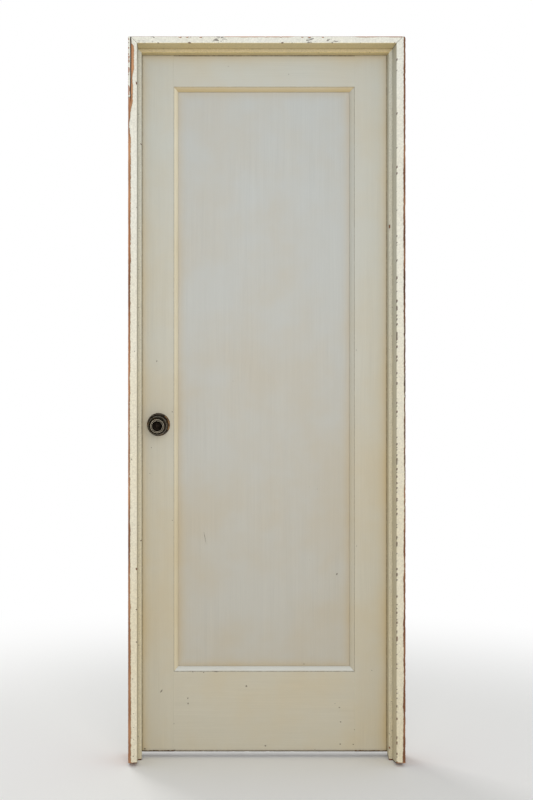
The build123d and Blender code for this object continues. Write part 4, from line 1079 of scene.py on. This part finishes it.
def panelPiece():
    values = {"step": 7 * mm, "wave": 0.35 * mm, "edge": 11 * mm, "fade": 30 * mm, "flatten": 40 * mm}
    columns = int((panelHigh.x - panelLow.x) / values["step"])
    rows = int((panelHigh.z - panelLow.z) / values["step"])
    points, faces = [], []
    for side, y in ((-1, panelLow.y), (1, panelHigh.y)):
        for z in np.linspace(panelLow.z, panelHigh.z, rows + 1):
            for x in np.linspace(panelLow.x, panelHigh.x, columns + 1):
                inside = min(x - panelLow.x, panelHigh.x - x, z - panelLow.z, panelHigh.z - z)
                fade = min(1.0, max(0.0, (inside - values["edge"]) / values["flatten"]))
                points.append((x, y + noise.noise((x * 3.5, side * 2.0, z * 2.2)) * values["wave"] * fade, z))
    across, layer = columns + 1, (rows + 1) * (columns + 1)
    for side in (0, 1):
        for i in range(rows):
            for j in range(columns):
                a = side * layer + i * across + j
                quad = (a, a + 1, a + across + 1, a + across)
                faces.append(quad if side == 0 else quad[::-1])
    border = [j for j in range(columns)] + [i * across + columns for i in range(rows)]
    border += [rows * across + j for j in range(columns, 0, -1)] + [i * across for i in range(rows, 0, -1)]
    for index, a in enumerate(border):
        b = border[(index + 1) % len(border)]
        faces.append((a, a + layer, b + layer, b))
    array = np.array(points)
    inside = np.minimum.reduce([array[:, 0] - panelLow.x, panelHigh.x - array[:, 0],
                                array[:, 2] - panelLow.z, panelHigh.z - array[:, 2]])
    # yellower towards the moulding: painted shade of the moulding with yellowing
    rim = unit(1 - (inside - values["edge"]) / values["fade"]) ** 2
    masks = {key: np.zeros(len(points)) for key in ("wear", "grime", "pale")}
    return makeMesh("doorPanel", points, faces, {**masks, "rim": rim * 0.7}, materials["doorPanel"])


dress(panelPiece(), "door_panel", "door")
print("panel made")


# Turned metal. A path is a list of (radius, height, fillet, wear, grime), with sizes in millimetres.

def turnedProfile(path, arcSteps=5):
    path = [(r * mm, z * mm, fillet * mm, wear, grime) for r, z, fillet, wear, grime in path]
    points = []
    for index, (r, z, fillet, wear, grime) in enumerate(path):
        if fillet == 0 or index in (0, len(path) - 1):
            points.append((r, z, wear, grime))
            continue
        before, here, after = [Vector(path[index + step][:2]) for step in (-1, 0, 1)]
        arc = filletArc(before, here, after, fillet, arcSteps, most=0.45)
        points += [(p.x, p.y, wear, grime) for p in arc]
    return points


def lathe(name, path, y, outwards, segments=144, lean=(0.0, 0.0), closed=False):
    profile = turnedProfile(path)
    tallest = max(p[1] for p in profile)
    points = []
    for r, z, wear, grime in profile:
        for step in range(segments):
            a = 2 * math.pi * step / segments
            points.append((knobX + r * math.cos(a) + lean[0] * mm * z / tallest, y + outwards * z,
                           knobZ + r * math.sin(a) + lean[1] * mm * z / tallest))
    wear, grime = [np.repeat([p[column] for p in profile], segments) for column in (2, 3)]
    faces = tube(0, len(profile), segments, closed)
    return makeMesh(name, points, faces, {"wear": wear, "grime": grime}, materials["bronze"], sharp=40)


def curve(start, control, end, steps, wear, grime):
    path = []
    for t in np.linspace(0, 1, steps + 1):
        shares = ((1 - t) ** 2, 2 * t * (1 - t), t * t)
        r, z = [float(sum(share * number for share, number in zip(shares, numbers)))
                for numbers in zip(start, control, end)]
        path.append((r, z, 0, wear, grime))
    return path


# all in millimetres; the worn knob on the side with the stops sits a little askew
knobs = {
    "neck": 12, "root": 2, "neckEnd": 18, "shoulder": (20.6, 30.8), "radius": 26.5, "widestAt": 44,
    "front": 66, "outerRing": 18.5, "innerRing": 15.2, "dish": 13.2, "button": 4.4, "centre": 0.05,
    "lean": (-3.4, -2.4),
}
roses = {"radius": 32.6, "depth": 9, "bore": 12.4, "bead": 5.5, "wall": 1.8}


def knobPath():
    k = knobs
    top, ring, inner, neck, button = k["front"], k["outerRing"], k["innerRing"], k["neck"], k["button"]
    widest = (k["radius"], k["widestAt"])
    path = [(k["centre"], k["root"], 0, 0, 0.5), (neck - 1, k["root"], 0, 0, 0.5),
            (neck, k["root"] + 1, 0, 0, 0.5)]
    path += curve((neck, k["neckEnd"]), (neck + 0.6, 27.5), k["shoulder"], 8, 0, 0.4)
    path += curve(k["shoulder"], (26.2, 34.5), widest, 10, 0, 0)[1:]
    path += curve(widest, (26.6, 55.5), (ring + 1.5, top - 5.0), 10, 0.1, 0)[1:]
    path += [
        (ring + 1.4, top - 4.6, 0.3, 0, 0.8), (ring + 0.7, top - 2.5, 0.2, 0.1, 0.2),
        (ring + 0.5, top - 2.3, 0.1, 0.95, 0), (ring - 0.5, top - 2.3, 0.1, 0.95, 0),
        (ring - 0.7, top - 2.5, 0.1, 0, 0.7), (ring - 1.2, top - 4.8, 0.3, 0, 1),
        (inner + 1.1, top - 4.9, 0.3, 0, 1), (inner + 0.6, top - 0.2, 0.1, 0, 0.7),
        (inner + 0.4, top, 0.1, 0.95, 0), (inner - 0.4, top, 0.1, 0.95, 0),
        (inner - 0.6, top - 0.2, 0.1, 0, 0.7), (k["dish"] - 0.4, top - 4.2, 0.6, 0, 1),
        (9.3, top - 4.8, 0.4, 0, 1), (8.8, top - 3.8, 0.3, 0.25, 0.6),
        (8.2, top - 3.8, 0.3, 0.25, 0.6), (7.7, top - 4.8, 0.4, 0, 1),
        (button + 0.4, top - 4.8, 0.3, 0, 1), (button, top - 3.2, 0.5, 0.3, 0.5),
        (2.0, top - 3.0, 0.5, 0, 0.8), (k["centre"], top - 3.2, 0, 0, 1),
    ]
    return path


def rosePath():
    rim, depth, bore, wall = roses["radius"], roses["depth"], roses["bore"], roses["wall"]
    bead = rim - roses["bead"]
    return [
        (rim, 0, 0, 0, 0.4), (rim, 1.2, 0.6, 0.3, 0), (rim - 1.4, 2.7, 0.9, 0.4, 0),
        (bead + 1.4, 2.7, 0.7, 0.3, 0), (bead + 0.4, 1.9, 0.4, 0, 1), (bead - 0.2, 1.9, 0.3, 0, 1),
        (bead - 0.5, 4.6, 0.8, 0.5, 0), (bore + 5.6, 7.4, 1.5, 0, 0), (bore + 3.2, 7.9, 0.4, 0, 0.8),
        (bore + 2.6, depth, 0.5, 0.5, 0), (bore, depth, 0.4, 0.3, 0), (bore, depth - wall, 0, 0, 1),
        (bead - wall - 1, 2.6, 0, 0, 1), (rim - wall, 0.9, 0, 0, 1), (rim - wall, 0, 0, 0, 1),
    ]


dress(lathe("frontKnob", knobPath(), doorFront, -1, lean=knobs["lean"]), "front_knob", "knobs")
dress(lathe("backKnob", knobPath(), doorBack, 1), "back_knob", "knobs")
dress(lathe("frontRose", rosePath(), doorFront, -1, closed=True), "front_rose", "door")
backRose = lathe("backRose", rosePath(), doorBack, 1, closed=True)
cutFrom(backRose, bores=[
    ((knobX, doorBack + 3 * mm, (low.z + high.z) / 2), (knobX, doorBack + 15 * mm, (low.z + high.z) / 2),
     (high.z - low.z) / 2 + 0.4 * mm) for low, high in solidBoxes("rose_bolts")])
dress(backRose, "back_rose", "door")
print("knobs and roses turned")


# Screws with slotted heads, turned about the direction that the heads face

def slottedScrews(name, node, direction, head, body, look, seed, segments=32):
    draw = random.Random(seed)
    points, faces, wear, slots = [], [], [], []
    axis = Vector(direction)
    side = Vector((0, 0, 1))
    other = axis.cross(side)
    shank = head * 0.48
    if node == "rose_bolts":  # these have round heads that stand on the rose
        crown = [(2.4 * mm, shank), (2.39 * mm, head), (0.6 * mm, head), (0, head * 0.8)]
    else:
        crown = [(head - shank, shank), (0.25 * mm, head), (0, head * 0.94)]
    for low, high in solidBoxes(node):
        length = abs((high - low).dot(axis))
        top = (low + high) / 2 + axis * length / 2
        rings = [(length, 0.2 * mm), (length - 3 * mm, shank)] + crown
        faces += tube(len(points), len(rings), segments)
        for back, radius in rings:
            for step in range(segments):
                a = 2 * math.pi * step / segments
                points.append(top - axis * back + side * radius * math.cos(a) + other * radius * math.sin(a))
                wear.append(0.45 if radius >= head * 0.8 else 0.0)
        spin = draw.uniform(0, math.pi)
        along = side * math.cos(spin) + other * math.sin(spin)
        slots.append((top, along * head * 1.2, axis.cross(along) * head * 0.13, axis * head * 0.28))
    masks = {"wear": wear, "grime": [0.0] * len(wear)}
    piece = makeMesh(name, points, faces, masks, materials[look], sharp=30)
    cutFrom(piece, blocks=slots)
    dress(piece, node, body)


screws = {"hinge": 4.4 * mm, "small": 3.6 * mm, "bolt": 4.0 * mm}
for name, node, direction, head, body, look, slot, seed in (
    ("jambLeafScrews", "jamb_leaf_screws", (-1, 0, 0), "hinge", "frame", "hinge", "hinge_metal", 2),
    ("doorLeafScrews", "door_leaf_screws", (1, 0, 0), "hinge", "door", "hinge", "hinge_metal", 3),
    ("strikeScrews", "strike_screws", (1, 0, 0), "small", "frame", "plate", "inner_steel", 4),
    ("latchScrews", "latch_screws", (-1, 0, 0), "small", "door", "plate", "inner_steel", 5),
    ("roseBolts", "rose_bolts", (0, 1, 0), "bolt", "door", "bronze", "inner_steel", 6),
):
    slottedScrews(name, node, direction, screws[head], body, look, seed)
print("screws made")


slotMaterials = {
    "knob_bronze": "bronze", "plate_metal": "plate", "bolt_brass": "brass", "hinge_metal": "hinge",
    "inner_steel": "steel", "frame_paint": "frameUpright", "door_paint": "doorUpright",
}
slotOf = {part["node"]: part["material_slot"] for part in frame["record"]["subparts"]}
for node, thing in frame["nodes"].items():
    key = "nail" if "nails" in node else slotMaterials[slotOf[node]]
    thing.data.materials.clear()
    thing.data.materials.append(materials[key])


# Floor, light and camera

stageLook = {"floor": (0.92, 0.92, 0.91, 1), "size": 14.0, "fadeStart": 0.8, "fadeEnd": 2.4,
             "light": (0.97, 0.985, 1.0, 1), "world": 0.59, "white": (1, 1, 1, 1)}


def mixShaders(tree, kind, factor, first, second):
    mix = addNode(tree, "ShaderNodeMixShader")
    mixed = feedAll(tree, mix, {0: factor, 1: first.outputs[0], 2: second.outputs[0]})
    feed(tree, addNode(tree, kind).inputs["Surface"], mixed[0])
    arrange(tree)


def makeFloor():
    look = stageLook
    bpy.ops.mesh.primitive_plane_add(size=look["size"], location=(0, 0, 0))
    floor = bpy.context.object
    floor.name = "floor"
    material = bpy.data.materials.new("paleFloor")
    material.use_nodes = True
    tree = material.node_tree
    tree.nodes.clear()
    plain = addNode(tree, "ShaderNodeBsdfDiffuse", in_Color=look["floor"])
    white = addNode(tree, "ShaderNodeEmission", in_Color=look["white"], in_Strength=1.0)
    length = vectorNode(tree, "LENGTH", addNode(tree, "ShaderNodeTexCoord").outputs["Object"])
    far = rangeNode(tree, length, look["fadeStart"], look["fadeEnd"])
    rays = addNode(tree, "ShaderNodeLightPath").outputs
    seen = mathNode(tree, "MAXIMUM", rays["Is Camera Ray"], rays["Is Glossy Ray"])
    mixShaders(tree, "ShaderNodeOutputMaterial", mathNode(tree, "MULTIPLY", far, seen), plain, white)
    floor.data.materials.append(material)


def makeWorld():
    world = bpy.context.scene.world or bpy.data.worlds.new("World")
    bpy.context.scene.world = world
    world.use_nodes = True
    tree = world.node_tree
    tree.nodes.clear()
    soft = addNode(tree, "ShaderNodeBackground", in_Color=stageLook["light"], in_Strength=stageLook["world"])
    back = addNode(tree, "ShaderNodeBackground", in_Color=stageLook["white"], in_Strength=1.0)
    seen = addNode(tree, "ShaderNodeLightPath").outputs["Is Camera Ray"]
    mixShaders(tree, "ShaderNodeOutputWorld", seen, soft, back)


makeFloor()
makeWorld()

lamps = {
    "keyLight": {"place": (0.1, -4.7, 1.7), "target": (0, 0, 0.8), "size": 2.6, "watts": 84,
                 "colour": (1.0, 0.97, 0.92)},
    "backLight": {"place": (-2.4, 4.4, 3.2), "target": (0, 0, 1.0), "size": 2.4, "watts": 110,
                  "colour": (1.0, 0.98, 0.95)},
}
for name, lamp in lamps.items():
    data = bpy.data.lights.new(name, "AREA")
    data.size, data.energy, data.color = lamp["size"], lamp["watts"], lamp["colour"]
    thing = bpy.data.objects.new(name, data)
    thing.location = lamp["place"]
    aim = Vector(lamp["target"]) - thing.location
    thing.rotation_euler = aim.to_track_quat("-Z", "Y").to_euler()
    bpy.context.scene.collection.objects.link(thing)

view = {"distance": 3.6, "x": -0.258, "belowTop": 0.933, "lens": 58.65, "shiftX": 0.1163, "shiftY": -0.0324}
cameraData = bpy.data.cameras.new("camera")
cameraData.lens, cameraData.sensor_width = view["lens"], 36.0
cameraData.shift_x, cameraData.shift_y = view["shiftX"], view["shiftY"]
camera = bpy.data.objects.new("camera", cameraData)
camera.location = (view["x"], frontY - view["distance"], headHigh.z - view["belowTop"])
camera.rotation_euler = (math.radians(90), 0, 0)
bpy.context.scene.collection.objects.link(camera)
bpy.context.scene.camera = camera
bpy.context.scene.view_settings.view_transform = "Standard"
print("stage, lamps and camera set")
